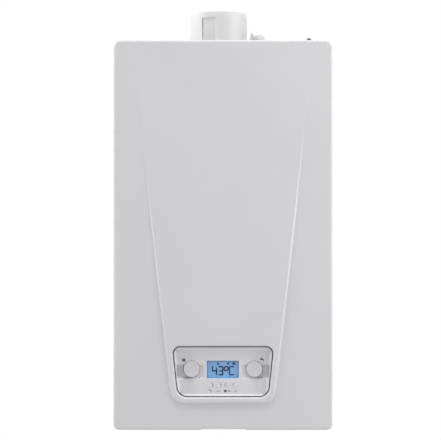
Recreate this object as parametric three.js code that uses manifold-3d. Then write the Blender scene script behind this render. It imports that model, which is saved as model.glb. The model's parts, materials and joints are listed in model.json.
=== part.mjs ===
// Wall-hung combi boiler, built as an assembly of separate parts.
// Millimetres, +Z up, front towards -Y, wall plane at y = 0.
// Every function below works in casing coordinates: x = 0 at the middle of the casing,
// z = 0 at its bottom edge. The last group moves the origin to the middle of the wall bracket.
import * as THREE from "three";
import { mergeVertices } from "three/addons/utils/BufferGeometryUtils.js";
import Module from "manifold-3d";

const wasm = await Module();
wasm.setup();

// ---------------------------------------------------------------- driving dimensions
const CASE_HALF_W = 196.5; // outer half width of the front cover
const CASE_H = 700;
const COVER_FRONT_Y = -281; // flat field of the front cover
const COVER_REAR_Y = -240; // rear edge of its side walls
const PLATEAU_Y = -285; // raised tongue at its lower end
const SHEET = 1.5; // cover sheet
const PANEL = 1.2; // side, top, bottom and back sheet
const CORNER_TOP = 14;
const CORNER_BOTTOM = 10.5;
const COVER_EDGE_R = 4;
const TONGUE_BOTTOM_Z = 49;
const TONGUE_FADE_Z = 650;
const APERTURE_TOP = 150.4;
const APERTURE_BOTTOM = 60.6;
const APERTURE_TOP_HALF = 90.5;
const APERTURE_BOTTOM_HALF = 82;
const FASCIA_GAP = 1.6;
const FASCIA_FLOOR_Y = -277;
const CONTROL_Z = 109.2; // knob and display axis height
const KNOB_X = 56.3;
const KNOB_R = 14.5;
const BUTTON_X = [-21.9, -7.3, 7.3, 21.9];
const BUTTON_Z = 80;
const BUTTON_R = 4.8;
const LCD_W = 56.4;
const LCD_H = 29.7;
const BOX_HALF_W = 178;
const BOX_Z = [42, 184];
const BOX_Y = [-262, -205];
const HINGE_Y = -252; // drop hinge of the control box
const HINGE_Z = 50;
const FLUE_X = -8.1;
const FLUE_Y = -125;
const TURRET_R = 53;
const TURRET_TOP = 763;
const TURRET_BASE = 697;
const EXCHANGER_X = -45;
const EXCHANGER_Z = 480;
const EXCHANGER_R = 118;
const EXCHANGER_Y = [-180, -30];
const FAN_X = 11;
const FAN_Z = 285;
const FAN_Y = [-236, -192];
const IMPELLER_R = 50;
const BLADES = 11;
const TAIL_Y = -100;
const TAIL_BOTTOM = 8;
const MANIFOLD_Z = [66, 100];
const BOTTOM_PLATE_Z = 52;
const BRACKET_Z = 640; // middle of the wall bracket above the casing bottom
const FACET_SHARE = 0.44; // share of the listed number of sides that round pieces get

// ---------------------------------------------------------------- solid helpers
// Closed three.js geometry as a solid with its faces outward.
function solid(geometry) {
  const bare = geometry.index ? geometry.toNonIndexed() : geometry.clone();
  for (const key of Object.keys(bare.attributes)) {
    if (key !== "position") bare.deleteAttribute(key);
  }
  const merged = mergeVertices(bare, 1e-4);
  const vertProperties = new Float32Array(merged.attributes.position.array);
  const triVerts = new Uint32Array(merged.index.array);
  const made = new wasm.Manifold(new wasm.Mesh({ numProp: 3, vertProperties, triVerts }));
  if (made.volume() > 0) return made;
  for (let i = 0; i < triVerts.length; i += 3) {
    const first = triVerts[i];
    triVerts[i] = triVerts[i + 1];
    triVerts[i + 1] = first;
  }
  return new wasm.Manifold(new wasm.Mesh({ numProp: 3, vertProperties, triVerts }));
}

// A solid back as three.js geometry.
function geometryOf(made) {
  const mesh = made.getMesh();
  const count = mesh.numVert;
  const positions = new Float32Array(count * 3);
  for (let i = 0; i < count; i += 1) {
    const from = i * mesh.numProp;
    positions.set(mesh.vertProperties.subarray(from, from + 3), i * 3);
  }
  const geometry = new THREE.BufferGeometry();
  geometry.setAttribute("position", new THREE.BufferAttribute(positions, 3));
  geometry.setIndex(new THREE.BufferAttribute(new Uint32Array(mesh.triVerts), 1));
  geometry.computeVertexNormals();
  return geometry;
}

// Even number of sides for a round piece; hexagons and octagons stay as they are.
function facets(sides) {
  return sides <= 8 ? sides : Math.max(8, 2 * Math.round((sides * FACET_SHARE) / 2));
}

function join(first, ...others) {
  return others.reduce((sum, next) => sum.add(next), first);
}

function cut(first, ...others) {
  return others.reduce((rest, next) => rest.subtract(next), first);
}

function box(x0, x1, y0, y1, z0, z1) {
  const geometry = new THREE.BoxGeometry(x1 - x0, y1 - y0, z1 - z0);
  geometry.translate((x0 + x1) / 2, (y0 + y1) / 2, (z0 + z1) / 2);
  return solid(geometry);
}

// Turns a geometry made along its own +Z so that it runs along the named axis.
function alongAxis(geometry, axis) {
  const turn = new THREE.Matrix4();
  const x = new THREE.Vector3(1, 0, 0);
  const y = new THREE.Vector3(0, 1, 0);
  const z = new THREE.Vector3(0, 0, 1);
  if (axis === "x") turn.makeBasis(y, z, x);
  if (axis === "y") turn.makeBasis(x.negate(), z, y);
  geometry.applyMatrix4(turn);
  return geometry;
}

// Cylinder along an axis from a to b. For x the centre is (y, z), for y (x, z), for z (x, y).
function rod(axis, radius, a, b, c0, c1, sides = 24) {
  const geometry = new THREE.CylinderGeometry(radius, radius, Math.abs(b - a), facets(sides));
  const middle = (a + b) / 2;
  if (axis === "x") {
    geometry.rotateZ(Math.PI / 2);
    geometry.translate(middle, c0, c1);
  } else if (axis === "y") {
    geometry.translate(c0, middle, c1);
  } else {
    geometry.rotateX(Math.PI / 2);
    geometry.translate(c0, c1, middle);
  }
  return solid(geometry);
}

// Profile of [radius, height] pairs turned about an axis, heights measured along that axis.
function turned(axis, profile, c0, c1, sides = 32) {
  const points = profile.map(([r, h]) => new THREE.Vector2(r, h));
  const onAxis = profile[0][0] === 0 && profile[profile.length - 1][0] === 0;
  if (!onAxis) points.push(points[0].clone());
  const geometry = new THREE.LatheGeometry(points, facets(sides));
  if (axis === "y") {
    geometry.translate(c0, 0, c1);
  } else {
    geometry.rotateX(Math.PI / 2);
    geometry.translate(c0, c1, 0);
  }
  return solid(geometry);
}

// Closed outline with rounded corners from [x, y, radius] triples.
function rounded(corners, steps = 4) {
  const out = [];
  const count = corners.length;
  corners.forEach(([x, y, radius = 0], i) => {
    const here = new THREE.Vector2(x, y);
    if (radius === 0) {
      out.push(here);
      return;
    }
    const before = corners[(i + count - 1) % count];
    const after = corners[(i + 1) % count];
    const toBefore = new THREE.Vector2(before[0] - x, before[1] - y).normalize();
    const toAfter = new THREE.Vector2(after[0] - x, after[1] - y).normalize();
    const half = Math.acos(THREE.MathUtils.clamp(toBefore.dot(toAfter), -1, 1)) / 2;
    const reach = radius / Math.tan(half);
    const bisector = toBefore.clone().add(toAfter).normalize();
    const centre = here.clone().addScaledVector(bisector, radius / Math.sin(half));
    const start = here.clone().addScaledVector(toBefore, reach).sub(centre);
    const end = here.clone().addScaledVector(toAfter, reach).sub(centre);
    const from = Math.atan2(start.y, start.x);
    let sweep = Math.atan2(end.y, end.x) - from;
    if (sweep > Math.PI) sweep -= 2 * Math.PI;
    if (sweep < -Math.PI) sweep += 2 * Math.PI;
    for (let k = 0; k <= steps; k += 1) {
      const angle = from + (sweep * k) / steps;
      out.push(new THREE.Vector2(centre.x + radius * Math.cos(angle), centre.y + radius * Math.sin(angle)));
    }
  });
  return out;
}

function rectangle(x0, x1, y0, y1, radius = 0, steps = 4) {
  const corners = [
    [x0, y0, radius],
    [x1, y0, radius],
    [x1, y1, radius],
    [x0, y1, radius],
  ];
  return rounded(corners, steps);
}

// Outline extruded along an axis from a to b, with its ends rounded off by bevel when given.
// For x the outline is (y, z), for y it is (x, z), for z it is (x, y).
function prism(axis, outline, a, b, bevel = 0, bevelSteps = 2) {
  const flat = axis === "y" ? outline.map((p) => new THREE.Vector2(-p.x, p.y)) : outline;
  const geometry = new THREE.ExtrudeGeometry(new THREE.Shape(flat), {
    depth: b - a - 2 * bevel,
    bevelEnabled: bevel > 0,
    bevelThickness: bevel,
    bevelSize: bevel,
    bevelOffset: -bevel,
    bevelSegments: bevelSteps,
    curveSegments: 8,
  });
  geometry.translate(0, 0, a + bevel);
  return solid(alongAxis(geometry, axis));
}

// Pipe route: straight runs joined by bends, with a point only where the direction changes.
class PipeRoute extends THREE.Curve {
  constructor(corners, bend, steps) {
    super();
    this.knots = [];
    corners.forEach((corner, i) => {
      const here = new THREE.Vector3(...corner);
      if (i === 0 || i === corners.length - 1) {
        this.knots.push(here);
        return;
      }
      const back = new THREE.Vector3(...corners[i - 1]).sub(here).normalize();
      const on = new THREE.Vector3(...corners[i + 1]).sub(here).normalize();
      const half = back.angleTo(on) / 2;
      const reach = bend / Math.tan(half);
      const centre = here.clone().addScaledVector(back.clone().add(on).normalize(), bend / Math.sin(half));
      const start = here.clone().addScaledVector(back, reach).sub(centre);
      const end = here.clone().addScaledVector(on, reach).sub(centre);
      const total = start.angleTo(end);
      const normal = start.clone().cross(end).normalize();
      for (let k = 0; k <= steps; k += 1) {
        this.knots.push(start.clone().applyAxisAngle(normal, (total * k) / steps).add(centre));
      }
    });
  }

  getPoint(t) {
    const at = t * (this.knots.length - 1);
    const i = Math.min(Math.floor(at), this.knots.length - 2);
    return this.knots[i].clone().lerp(this.knots[i + 1], at - i);
  }

  getSpacedPoints() {
    return this.knots.map((knot) => knot.clone());
  }

  getTangentAt(u) {
    const i = Math.round(u * (this.knots.length - 1));
    const before = this.knots[Math.max(i - 1, 0)];
    const here = this.knots[i];
    const after = this.knots[Math.min(i + 1, this.knots.length - 1)];
    const inward = here.clone().sub(before).normalize();
    const outward = after.clone().sub(here).normalize();
    return inward.add(outward).normalize();
  }
}

// Round or flattened bar along a route; bend is the bend radius.
function pipe(corners, radius, bend, sides = 12, steps = 4) {
  const route = new PipeRoute(corners, bend, steps);
  const ring = [];
  for (let k = 0; k < sides; k += 1) {
    const angle = (2 * Math.PI * k) / sides;
    ring.push(new THREE.Vector2(radius * Math.cos(angle), radius * Math.sin(angle)));
  }
  const geometry = new THREE.ExtrudeGeometry(new THREE.Shape(ring), {
    steps: route.knots.length - 1,
    bevelEnabled: false,
    extrudePath: route,
  });
  return solid(geometry);
}

// ---------------------------------------------------------------- casing outlines
// Front outline of the casing, drawn in by inset.
function caseOutline(inset) {
  const half = CASE_HALF_W - inset;
  const top = CORNER_TOP - inset;
  const bottom = CORNER_BOTTOM - inset;
  const corners = [
    [-half, inset, bottom],
    [half, inset, bottom],
    [half, CASE_H - inset, top],
    [-half, CASE_H - inset, top],
  ];
  return rounded(corners, 4);
}

// Half width of the raised tongue at a height: nearly straight, flaring out near its top.
function tongueHalf(z) {
  const up = z - 72;
  const flare = Math.max(z - 540, 0);
  return 93 + 0.122 * up - 0.00002 * up * up + 7.7e-6 * flare ** 3;
}

function tongueOutline(inset) {
  const heights = [652, 612, 575, 520, 400, 260, 140];
  const corners = [
    [-97 + inset, TONGUE_BOTTOM_Z + inset, 21 - inset],
    [97 - inset, TONGUE_BOTTOM_Z + inset, 21 - inset],
  ];
  const right = heights.map((z) => [tongueHalf(z) - inset, z]);
  right.reverse();
  const left = heights.map((z) => [-tongueHalf(z) + inset, z]);
  corners[0][0] = -91 + inset;
  corners[1][0] = 91 - inset;
  return rounded([...corners, ...right, ...left], 4);
}

// Slab behind the sloping front plane of the tongue: level with the cover at its top.
function tongueWedge(depth) {
  const topY = COVER_FRONT_Y + depth;
  const lowY = PLATEAU_Y + depth;
  const outline = [
    new THREE.Vector2(topY, TONGUE_FADE_Z),
    new THREE.Vector2(lowY, APERTURE_TOP),
    new THREE.Vector2(lowY, 0),
    new THREE.Vector2(-262, 0),
    new THREE.Vector2(-262, TONGUE_FADE_Z),
  ];
  return prism("x", outline, -200, 200);
}

// Opening for the control fascia, drawn out by grow.
function apertureOutline(grow, steps = 4) {
  const corners = [
    [-APERTURE_BOTTOM_HALF - grow, APERTURE_BOTTOM - grow, 19 + grow],
    [APERTURE_BOTTOM_HALF + grow, APERTURE_BOTTOM - grow, 19 + grow],
    [APERTURE_TOP_HALF + grow, APERTURE_TOP + grow, 14 + grow],
    [-APERTURE_TOP_HALF - grow, APERTURE_TOP + grow, 14 + grow],
  ];
  return rounded(corners, steps);
}

// ---------------------------------------------------------------- casing parts
// Drawn steel tray with the tapered tongue pressed out of it and the flanged control opening.
function frontCover() {
  const tray = prism("y", caseOutline(0), COVER_FRONT_Y, -200, COVER_EDGE_R, 2);
  const trayInside = prism("y", caseOutline(SHEET), COVER_FRONT_Y + SHEET, -190, COVER_EDGE_R - SHEET, 2);
  const rearTrim = box(-200, 200, COVER_REAR_Y, -180, -5, 705);
  const raised = prism("y", tongueOutline(0), PLATEAU_Y, -268, 4, 2).intersect(tongueWedge(0));
  const hollow = prism("y", tongueOutline(2.2), PLATEAU_Y + SHEET, -262, 3.4, 2);
  const raisedInside = hollow.intersect(tongueWedge(SHEET));
  const shell = cut(join(tray, raised), trayInside, raisedInside, rearTrim);
  const collar = cut(
    prism("y", apertureOutline(SHEET), PLATEAU_Y + 0.4, -272.5),
    prism("y", apertureOutline(0), -300, -260),
  );
  const opening = prism("y", apertureOutline(0.01), -300, -200);
  const gripNotch = box(-39, 39, -290, -262, -1, 1.3);
  const screwHoles = [-178, 178].map((x) => rod("z", 2.6, -2, 4, x, -250, 12));
  return cut(join(cut(shell, opening), collar), gripNotch, ...screwHoles);
}

// Captive screw of the front cover, from below.
function coverScrew(side) {
  const profile = [
    [0, -2.4],
    [4.2, -2.4],
    [4.6, -0.3],
    [2.1, -0.3],
    [2.1, 6],
    [0, 6],
  ];
  return turned("z", profile, side * 178, -250, 18);
}

// Side sheet with rounded returns at the top and the bottom, and slots for the cover screws.
function sidePanel(side) {
  const outer = rectangleCase(194.7, 1.8, 698.2, 8.7, 12.2);
  const inner = rectangleCase(194.7 - PANEL, 1.8 + PANEL, 698.2 - PANEL, 8.7 - PANEL, 12.2 - PANEL);
  const ring = cut(prism("y", outer, -262, -1.6), prism("y", inner, -270, 5));
  const keep = side > 0 ? box(168, 200, -262, -1.6, 0, 700) : box(-200, -168, -262, -1.6, 0, 700);
  const screwSlot = box(side * 178 - 3, side * 178 + 3, -265, -246.5, 1, 4);
  const rearFlange = side > 0
    ? box(182, 193.6, -2.8, -1.6, 20, 685)
    : box(-193.6, -182, -2.8, -1.6, 20, 685);
  return join(cut(ring.intersect(keep), screwSlot), rearFlange);
}

function rectangleCase(half, low, high, lowRadius, highRadius) {
  const corners = [
    [-half, low, lowRadius],
    [half, low, lowRadius],
    [half, high, highRadius],
    [-half, high, highRadius],
  ];
  return rounded(corners, 4);
}

// Top sheet between the side returns, with a turned-down front lip and three holes.
function topPlate() {
  const plate = box(-183.5, 183.5, -262, -0.4, 695.4, 696.6);
  const lip = box(-183.5, 183.5, -262, -260.8, 683, 696);
  const flueHole = rod("z", 54, 690, 700, FLUE_X, FLUE_Y, 40);
  const capHole = rod("z", 9, 690, 700, 64, FLUE_Y, 20);
  const stemHole = rod("z", 4.6, 690, 700, 161, FLUE_Y, 16);
  return cut(join(plate, lip), flueHole, capHole, stemHole);
}

// Lower tray that carries the pipe tails.
function bottomPlate() {
  const plate = box(-192.9, 192.9, -198, -3.4, BOTTOM_PLATE_Z, BOTTOM_PLATE_Z + PANEL);
  const frontLip = box(-192.9, 192.9, -198, -196.8, BOTTOM_PLATE_Z, 62);
  const leftLip = box(-192.9, -191.7, -198, -3.4, BOTTOM_PLATE_Z, 62);
  const rightLip = box(191.7, 192.9, -198, -3.4, BOTTOM_PLATE_Z, 62);
  const tailHoles = TAILS.map((tail) => rod("z", tail.radius + 1.4, 50, 56, tail.x, TAIL_Y, 16));
  const siphonHole = rod("z", 11.5, 50, 56, -165, -48, 16);
  const drainHole = rod("z", 7.5, 50, 56, 95, -136, 16);
  return cut(join(plate, frontLip, leftLip, rightLip), ...tailHoles, siphonHole, drainHole);
}

// Back sheet: its upper band steps forward to clear the wall bracket and has two hanging slots.
function backFrame() {
  const outline = [
    [0, 56],
    [0, 594],
    [-7.2, 602],
    [-7.2, 678],
    [0, 686],
    [0, 695],
    [-1.2, 695],
    [-1.2, 686.5],
    [-8.4, 678.5],
    [-8.4, 601.5],
    [-1.2, 593.5],
    [-1.2, 56],
  ].map(([y, z]) => new THREE.Vector2(y, z));
  const sheet = prism("x", outline, -181.5, 181.5);
  const leftFlange = box(-181.5, -180.3, -13, -0.6, 56, 695);
  const rightFlange = box(180.3, 181.5, -13, -0.6, 56, 695);
  const slots = [-100, 100].map((x) => box(x - 17, x + 17, -12, 2, 622, 641.4));
  const lowerFixings = [-150, 150].map((x) => rod("y", 5, -4, 4, x, 130, 16));
  return cut(join(sheet, leftFlange, rightFlange), ...slots, ...lowerFixings);
}

// Flat wall bracket with two upturned hooks and four screw slots.
function wallBracket() {
  const plate = prism("y", rectangle(-150, 150, 610, 670, 6, 2), -2.4, 0);
  const hooks = [-100, 100].map((x) => {
    const arm = box(x - 15, x + 15, -12.6, -1.2, 638.4, 640.8);
    const tongue = box(x - 15, x + 15, -12.6, -10.2, 638.4, 653);
    return join(arm, tongue);
  });
  const slots = [-132, -50, 50, 132].map((x) => {
    const outline = rectangle(x - 4, x + 4, 648, 662, 3.9, 2);
    return prism("y", outline, -6, 4);
  });
  return cut(join(plate, ...hooks), ...slots);
}

// ---------------------------------------------------------------- flue and caps
// White flue turret: straight wall with a rim band, four pockets and the ribs between them.
function flueTurret() {
  const profile = [
    [50, TURRET_BASE],
    [56, TURRET_BASE],
    [56, TURRET_BASE + 3],
    [TURRET_R, TURRET_BASE + 4],
    [TURRET_R, TURRET_TOP - 10],
    [TURRET_R - 0.9, TURRET_TOP - 9],
    [TURRET_R, TURRET_TOP - 8],
    [TURRET_R, TURRET_TOP - 2],
    [TURRET_R - 1.2, TURRET_TOP],
    [50, TURRET_TOP],
  ];
  const body = turned("z", profile, FLUE_X, FLUE_Y, 72);
  const pockets = [0, 1, 2, 3].map((quarter) => {
    const sector = [];
    for (let k = 0; k <= 3; k += 1) sector.push(polarXY(51.2, -31 + 10 * k + quarter * 90));
    for (let k = 3; k >= 0; k -= 1) sector.push(polarXY(58, -31 + 10 * k + quarter * 90));
    return prism("z", sector, TURRET_BASE + 8, TURRET_TOP - 11.5);
  });
  return cut(body, ...pockets);
}

// Point round the flue axis, the angle measured from the front towards the right.
function polarXY(radius, degrees) {
  const angle = THREE.MathUtils.degToRad(degrees);
  return new THREE.Vector2(FLUE_X + radius * Math.sin(angle), FLUE_Y - radius * Math.cos(angle));
}

// Inner exhaust pipe with a wider socket at the top, over the spigot of the exchanger.
function flueInnerPipe() {
  const profile = [
    [29.5, 604],
    [31, 604],
    [31, 712],
    [34.5, 718],
    [34.5, 760],
    [33, 760],
    [33, 718.8],
    [29.5, 712.8],
  ];
  return turned("z", profile, FLUE_X, FLUE_Y, 40);
}

// Grey plug over the flue sampling point, with a small grip fin.
function testPointCap() {
  const profile = [
    [0, 690],
    [7.5, 690],
    [7.5, 696.9],
    [15, 696.9],
    [15, 716],
    [14, 720],
    [11, 722.6],
    [6, 723.6],
    [0, 723.6],
  ];
  const body = turned("z", profile, 64, FLUE_Y, 28);
  const fin = box(49.8, 53.4, FLUE_Y - 5, FLUE_Y + 5, 708, 727);
  return join(body, fin);
}

// Pointed black cap over the charging valve of the expansion vessel.
function vesselValveCap() {
  const profile = [
    [4.3, 697],
    [5.6, 697],
    [5.8, 698],
    [5.8, 709],
    [4.6, 713],
    [2.2, 716.5],
    [1.2, 719],
    [0, 719],
    [0, 711],
    [4.3, 708],
  ];
  return turned("z", profile, 161, FLUE_Y, 18);
}

// Flat red expansion vessel: two drawn halves with a seam, a valve stem and two back brackets.
function expansionVessel() {
  const outline = rectangle(-222, -30, 218, 668, 30, 2);
  const body = prism("x", outline, 122, 184, 12, 2);
  const seam = prism("x", rectangle(-224, -28, 216, 670, 32, 2), 151.5, 154.5);
  const stem = rod("z", 3.7, 664, 706, 161, FLUE_Y, 14);
  const outlet = rod("z", 7, 212, 226, 165, -100, 14);
  const brackets = [250, 560].map((z) => box(140, 166, -36, -1.5, z, z + 10));
  return join(body, seam, stem, outlet, ...brackets);
}

// ---------------------------------------------------------------- heat exchanger
// Round exchanger shell, open at the front for the burner door.
function exchangerShell() {
  const [front, rear] = EXCHANGER_Y;
  const profile = [
    [0, rear],
    [104, rear],
    [EXCHANGER_R, rear - 12],
    [EXCHANGER_R, front + 11],
    [EXCHANGER_R + 4, front + 9],
    [EXCHANGER_R + 4, front],
    [78, front],
    [78, front + 4],
    [113, front + 4],
    [113, rear - 16],
    [106, rear - 8],
    [0, rear - 6],
  ];
  const drum = turned("y", profile, EXCHANGER_X, EXCHANGER_Z, 40);
  const spigot = rod("z", 28.4, 560, 622, FLUE_X, FLUE_Y, 32);
  const spigotBore = rod("z", 26, 550, 630, FLUE_X, FLUE_Y, 32);
  const flowStub = rod("z", 11, 380, 420, -130, -100, 16);
  const returnStub = rod("z", 11, 366, 400, 20, -90, 16);
  const drainStub = rod("z", 9, 352, 376, -60, -60, 16);
  const stubs = join(flowStub, returnStub, drainStub, cut(spigot, spigotBore));
  const inside = rod("y", 112.5, front + 4.2, rear - 8.2, EXCHANGER_X, EXCHANGER_Z, 40);
  const lugs = [-1, 1].map((s) => {
    const x = EXCHANGER_X + s * 70;
    return box(x - 12, x + 12, rear - 8, -1.5, EXCHANGER_Z + 50, EXCHANGER_Z + 76);
  });
  return cut(join(drum, cut(stubs, inside), ...lugs), spigotBore.intersect(box(-60, 60, -180, -60, 560, 640)));
}

// Stainless tube wound in six turns inside the shell.
function exchangerCoil() {
  const turns = 6;
  const perTurn = 10;
  class Helix extends THREE.Curve {
    getPoint(t) {
      const angle = 2 * Math.PI * turns * t;
      const y = -164 + 112 * t;
      return new THREE.Vector3(EXCHANGER_X + 90 * Math.cos(angle), y, EXCHANGER_Z + 90 * Math.sin(angle));
    }

    getPointAt(u) {
      return this.getPoint(u);
    }

    getTangentAt(u) {
      return this.getTangent(u);
    }

    getSpacedPoints(count) {
      return Array.from({ length: count + 1 }, (_, i) => this.getPoint(i / count));
    }
  }
  const ring = [];
  for (let k = 0; k < 6; k += 1) {
    const angle = (2 * Math.PI * k) / 6;
    ring.push(new THREE.Vector2(7.4 * Math.cos(angle), 7.4 * Math.sin(angle)));
  }
  const geometry = new THREE.ExtrudeGeometry(new THREE.Shape(ring), {
    steps: turns * perTurn,
    bevelEnabled: false,
    extrudePath: new Helix(),
  });
  return solid(geometry);
}

// Cylindrical premix burner with a flange behind the door.
function burnerTube() {
  const front = EXCHANGER_Y[0];
  const profile = [
    [0, -70],
    [33, -70],
    [35, -72],
    [35, front + 4.5],
    [46, front + 4.5],
    [46, front + 0.6],
    [32, front + 0.6],
    [32, -74],
    [0, -73],
  ];
  return turned("y", profile, EXCHANGER_X, EXCHANGER_Z, 32);
}

// Burner door with a raised rim, the central gas-air opening and two electrode holes.
function burnerDoor() {
  const front = EXCHANGER_Y[0];
  const profile = [
    [24, front - 0.4],
    [102, front - 0.4],
    [102, front - 5],
    [96, front - 8],
    [70, front - 8],
    [62, front - 5],
    [24, front - 5],
  ];
  const plate = turned("y", profile, EXCHANGER_X, EXCHANGER_Z, 40);
  const holes = ELECTRODES.map((e) => rod("y", 3.4, -200, -170, e.x, e.z, 12));
  return cut(plate, ...holes);
}

const ELECTRODES = [
  { name: "ignition_electrode", x: EXCHANGER_X + 52, z: EXCHANGER_Z + 20 },
  { name: "flame_electrode", x: EXCHANGER_X + 52, z: EXCHANGER_Z - 20 },
];

// Ceramic electrode with its steel rod through the door.
function electrode({ x, z }) {
  const profile = [
    [0, -222],
    [2, -222],
    [2, -214],
    [5, -213],
    [5, -190],
    [6.2, -189.6],
    [6.2, -185.6],
    [2.6, -185.6],
    [3, -176],
    [1.2, -175],
    [1.2, -120],
    [0, -120],
  ];
  return turned("y", profile, x, z, 12);
}

// Duct from the fan outlet up and round into the burner door, flanged at both ends.
function premixManifold() {
  const top = EXCHANGER_Z;
  const doorY = EXCHANGER_Y[0] - 5.4;
  const route = [
    [EXCHANGER_X, -214, 376],
    [EXCHANGER_X, -214, top],
    [EXCHANGER_X, doorY, top],
  ];
  const duct = pipe(route, 21, 24, 14, 5);
  const doorFlange = rod("y", 32, doorY - 4, doorY, EXCHANGER_X, top, 28);
  const fanFlange = box(EXCHANGER_X - 27, EXCHANGER_X + 27, -237, -191, 373.4, 378);
  return join(duct, doorFlange, fanFlange);
}

// ---------------------------------------------------------------- fan
// Spiral outline of the volute drawn in by inset, growing clockwise towards the outlet on the left.
function spiralOutline(inset) {
  const points = [];
  for (let k = 0; k <= 13; k += 1) {
    const turn = (k * 305) / 13;
    const angle = THREE.MathUtils.degToRad(125 - turn);
    const radius = 60 - inset + (22 * turn) / 360;
    points.push(new THREE.Vector2(FAN_X + radius * Math.cos(angle), FAN_Z + radius * Math.sin(angle)));
  }
  const left = points[points.length - 1].x;
  const right = points[0].x - (inset > 0 ? inset / 2 : 0);
  const top = FAN_Z + 88 + (inset > 0 ? 5 : 0);
  points.push(new THREE.Vector2(left, top));
  points.push(new THREE.Vector2(right, top));
  return points.reverse();
}

// Cast fan housing: hollow volute, open at the inlet, the outlet and the shaft hole.
function fanHousing() {
  const [front, rear] = FAN_Y;
  const outer = prism("y", spiralOutline(0), front, rear, 2, 1);
  const cavity = prism("y", spiralOutline(3.5), front + 3, rear - 3);
  const inlet = rod("y", 30, front - 2, front + 6, FAN_X, FAN_Z, 32);
  const shaftHole = rod("y", 6, rear - 6, rear + 2, FAN_X, FAN_Z, 16);
  const outletFlange = box(EXCHANGER_X - 27, EXCHANGER_X + 27, front - 1, rear + 1, 368.6, 373);
  return cut(join(outer, outletFlange), cavity, inlet, shaftHole);
}

// Centrifugal impeller: back disc, hub, curved blades and a shroud ring.
function fanImpeller() {
  const [front, rear] = FAN_Y;
  const hub = [
    [4.2, rear - 5],
    [IMPELLER_R, rear - 5],
    [IMPELLER_R, rear - 7],
    [16, rear - 7],
    [10, rear - 18],
    [8, rear - 24],
    [4.2, rear - 24],
  ];
  const shroud = [
    [31, front + 5],
    [IMPELLER_R, front + 8],
    [IMPELLER_R, front + 9.6],
    [31, front + 6.6],
  ];
  const blades = [];
  for (let k = 0; k < BLADES; k += 1) {
    const base = (2 * Math.PI * k) / BLADES;
    const face = [];
    const back = [];
    for (let s = 0; s <= 2; s += 1) {
      const radius = 24 + (25.6 * s) / 2;
      const lean = base + 0.5 * (s / 2) ** 1.3;
      const thick = 0.9 / radius;
      face.push(new THREE.Vector2(FAN_X + radius * Math.cos(lean), FAN_Z + radius * Math.sin(lean)));
      const rearSide = lean + 2 * thick;
      back.push(new THREE.Vector2(FAN_X + radius * Math.cos(rearSide), FAN_Z + radius * Math.sin(rearSide)));
    }
    const outline = [...face, ...back.reverse()];
    blades.push(prism("y", outline, front + 6.2, rear - 6));
  }
  const eye = turned("y", [[0, front + 2], [30.5, front + 2], [37, front + 7.2], [0, front + 7.2]], FAN_X, FAN_Z, 32);
  const disc = turned("y", hub, FAN_X, FAN_Z, 32);
  const ring = turned("y", shroud, FAN_X, FAN_Z, 32);
  return join(disc, ring, ...blades.map((blade) => cut(blade, eye)));
}

// Fan motor with cooling ribs and the shaft that carries the impeller.
function fanMotor() {
  const rear = FAN_Y[1];
  const profile = [
    [0, -148],
    [26, -148],
    [30, -152],
    [30, -160],
    [38, -162],
    [38, -169],
    [35, -169],
    [35, -174],
    [38, -174],
    [38, rear + 0.8],
    [3.8, rear + 0.8],
    [3.8, rear - 26],
    [0, rear - 26],
  ];
  return turned("y", profile, FAN_X, FAN_Z, 28);
}

// Air inlet and venturi throat in front of the impeller.
function airGasVenturi() {
  const front = FAN_Y[0];
  const profile = [
    [34, front - 0.4],
    [44, front - 0.4],
    [44, front - 4],
    [35, front - 5],
    [31, front - 14],
    [34, front - 24],
    [42, front - 34],
    [39, front - 34],
    [31, front - 24],
    [27.5, front - 14],
    [29.5, front - 3],
  ];
  const throat = turned("y", profile, FAN_X, FAN_Z, 36);
  const gasPort = cut(
    rod("z", 8, FAN_Z + 31, FAN_Z + 42, FAN_X, front - 14, 16),
    rod("y", 31.2, front - 30, front, FAN_X, FAN_Z, 36),
  );
  return join(throat, gasPort);
}

// ---------------------------------------------------------------- gas and water
// Pipe tails below the casing: G 3/4 for heating and gas, G 1/2 for hot and cold water.
const TAILS = [
  { name: "heating_flow_tail", x: -130, radius: 13.2, bore: 9.5, top: MANIFOLD_Z[0] - 0.4 },
  { name: "hot_water_tail", x: -65, radius: 10.5, bore: 7, top: MANIFOLD_Z[0] - 0.4 },
  { name: "gas_tail", x: 0, radius: 13.2, bore: 9.5, top: 84 },
  { name: "cold_water_tail", x: 65, radius: 10.5, bore: 7, top: MANIFOLD_Z[0] - 0.4 },
  { name: "heating_return_tail", x: 130, radius: 13.2, bore: 9.5, top: MANIFOLD_Z[0] - 0.4 },
];

// Threaded brass tail with a hexagon under the bottom plate.
function pipeTail({ x, radius, bore, top }) {
  const profile = [
    [bore, TAIL_BOTTOM],
    [radius, TAIL_BOTTOM],
    [radius, TAIL_BOTTOM + 17],
    [radius - 1.2, TAIL_BOTTOM + 18.5],
    [radius - 1.2, top],
    [bore, top],
  ];
  const tube = turned("z", profile, x, TAIL_Y, 24);
  const hexagon = cut(
    rod("z", radius + 4.5, 39, 51.7, x, TAIL_Y, 6),
    rod("z", radius - 2.4, 30, 60, x, TAIL_Y, 24),
  );
  return join(tube, hexagon);
}

// The cold tail also carries the body of the filling tap.
function coldWaterTail(tail) {
  const arm = cut(
    rod("y", 6.5, -142, TAIL_Y - 6, tail.x, 30, 16),
    rod("z", tail.radius - 2, 10, 50, tail.x, TAIL_Y, 24),
  );
  const neck = rod("z", 6, 23, 37, tail.x, -134, 16);
  const spindle = rod("z", 2.4, 12, 24, tail.x, -134, 12);
  return join(pipeTail(tail), arm, neck, spindle);
}

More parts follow.
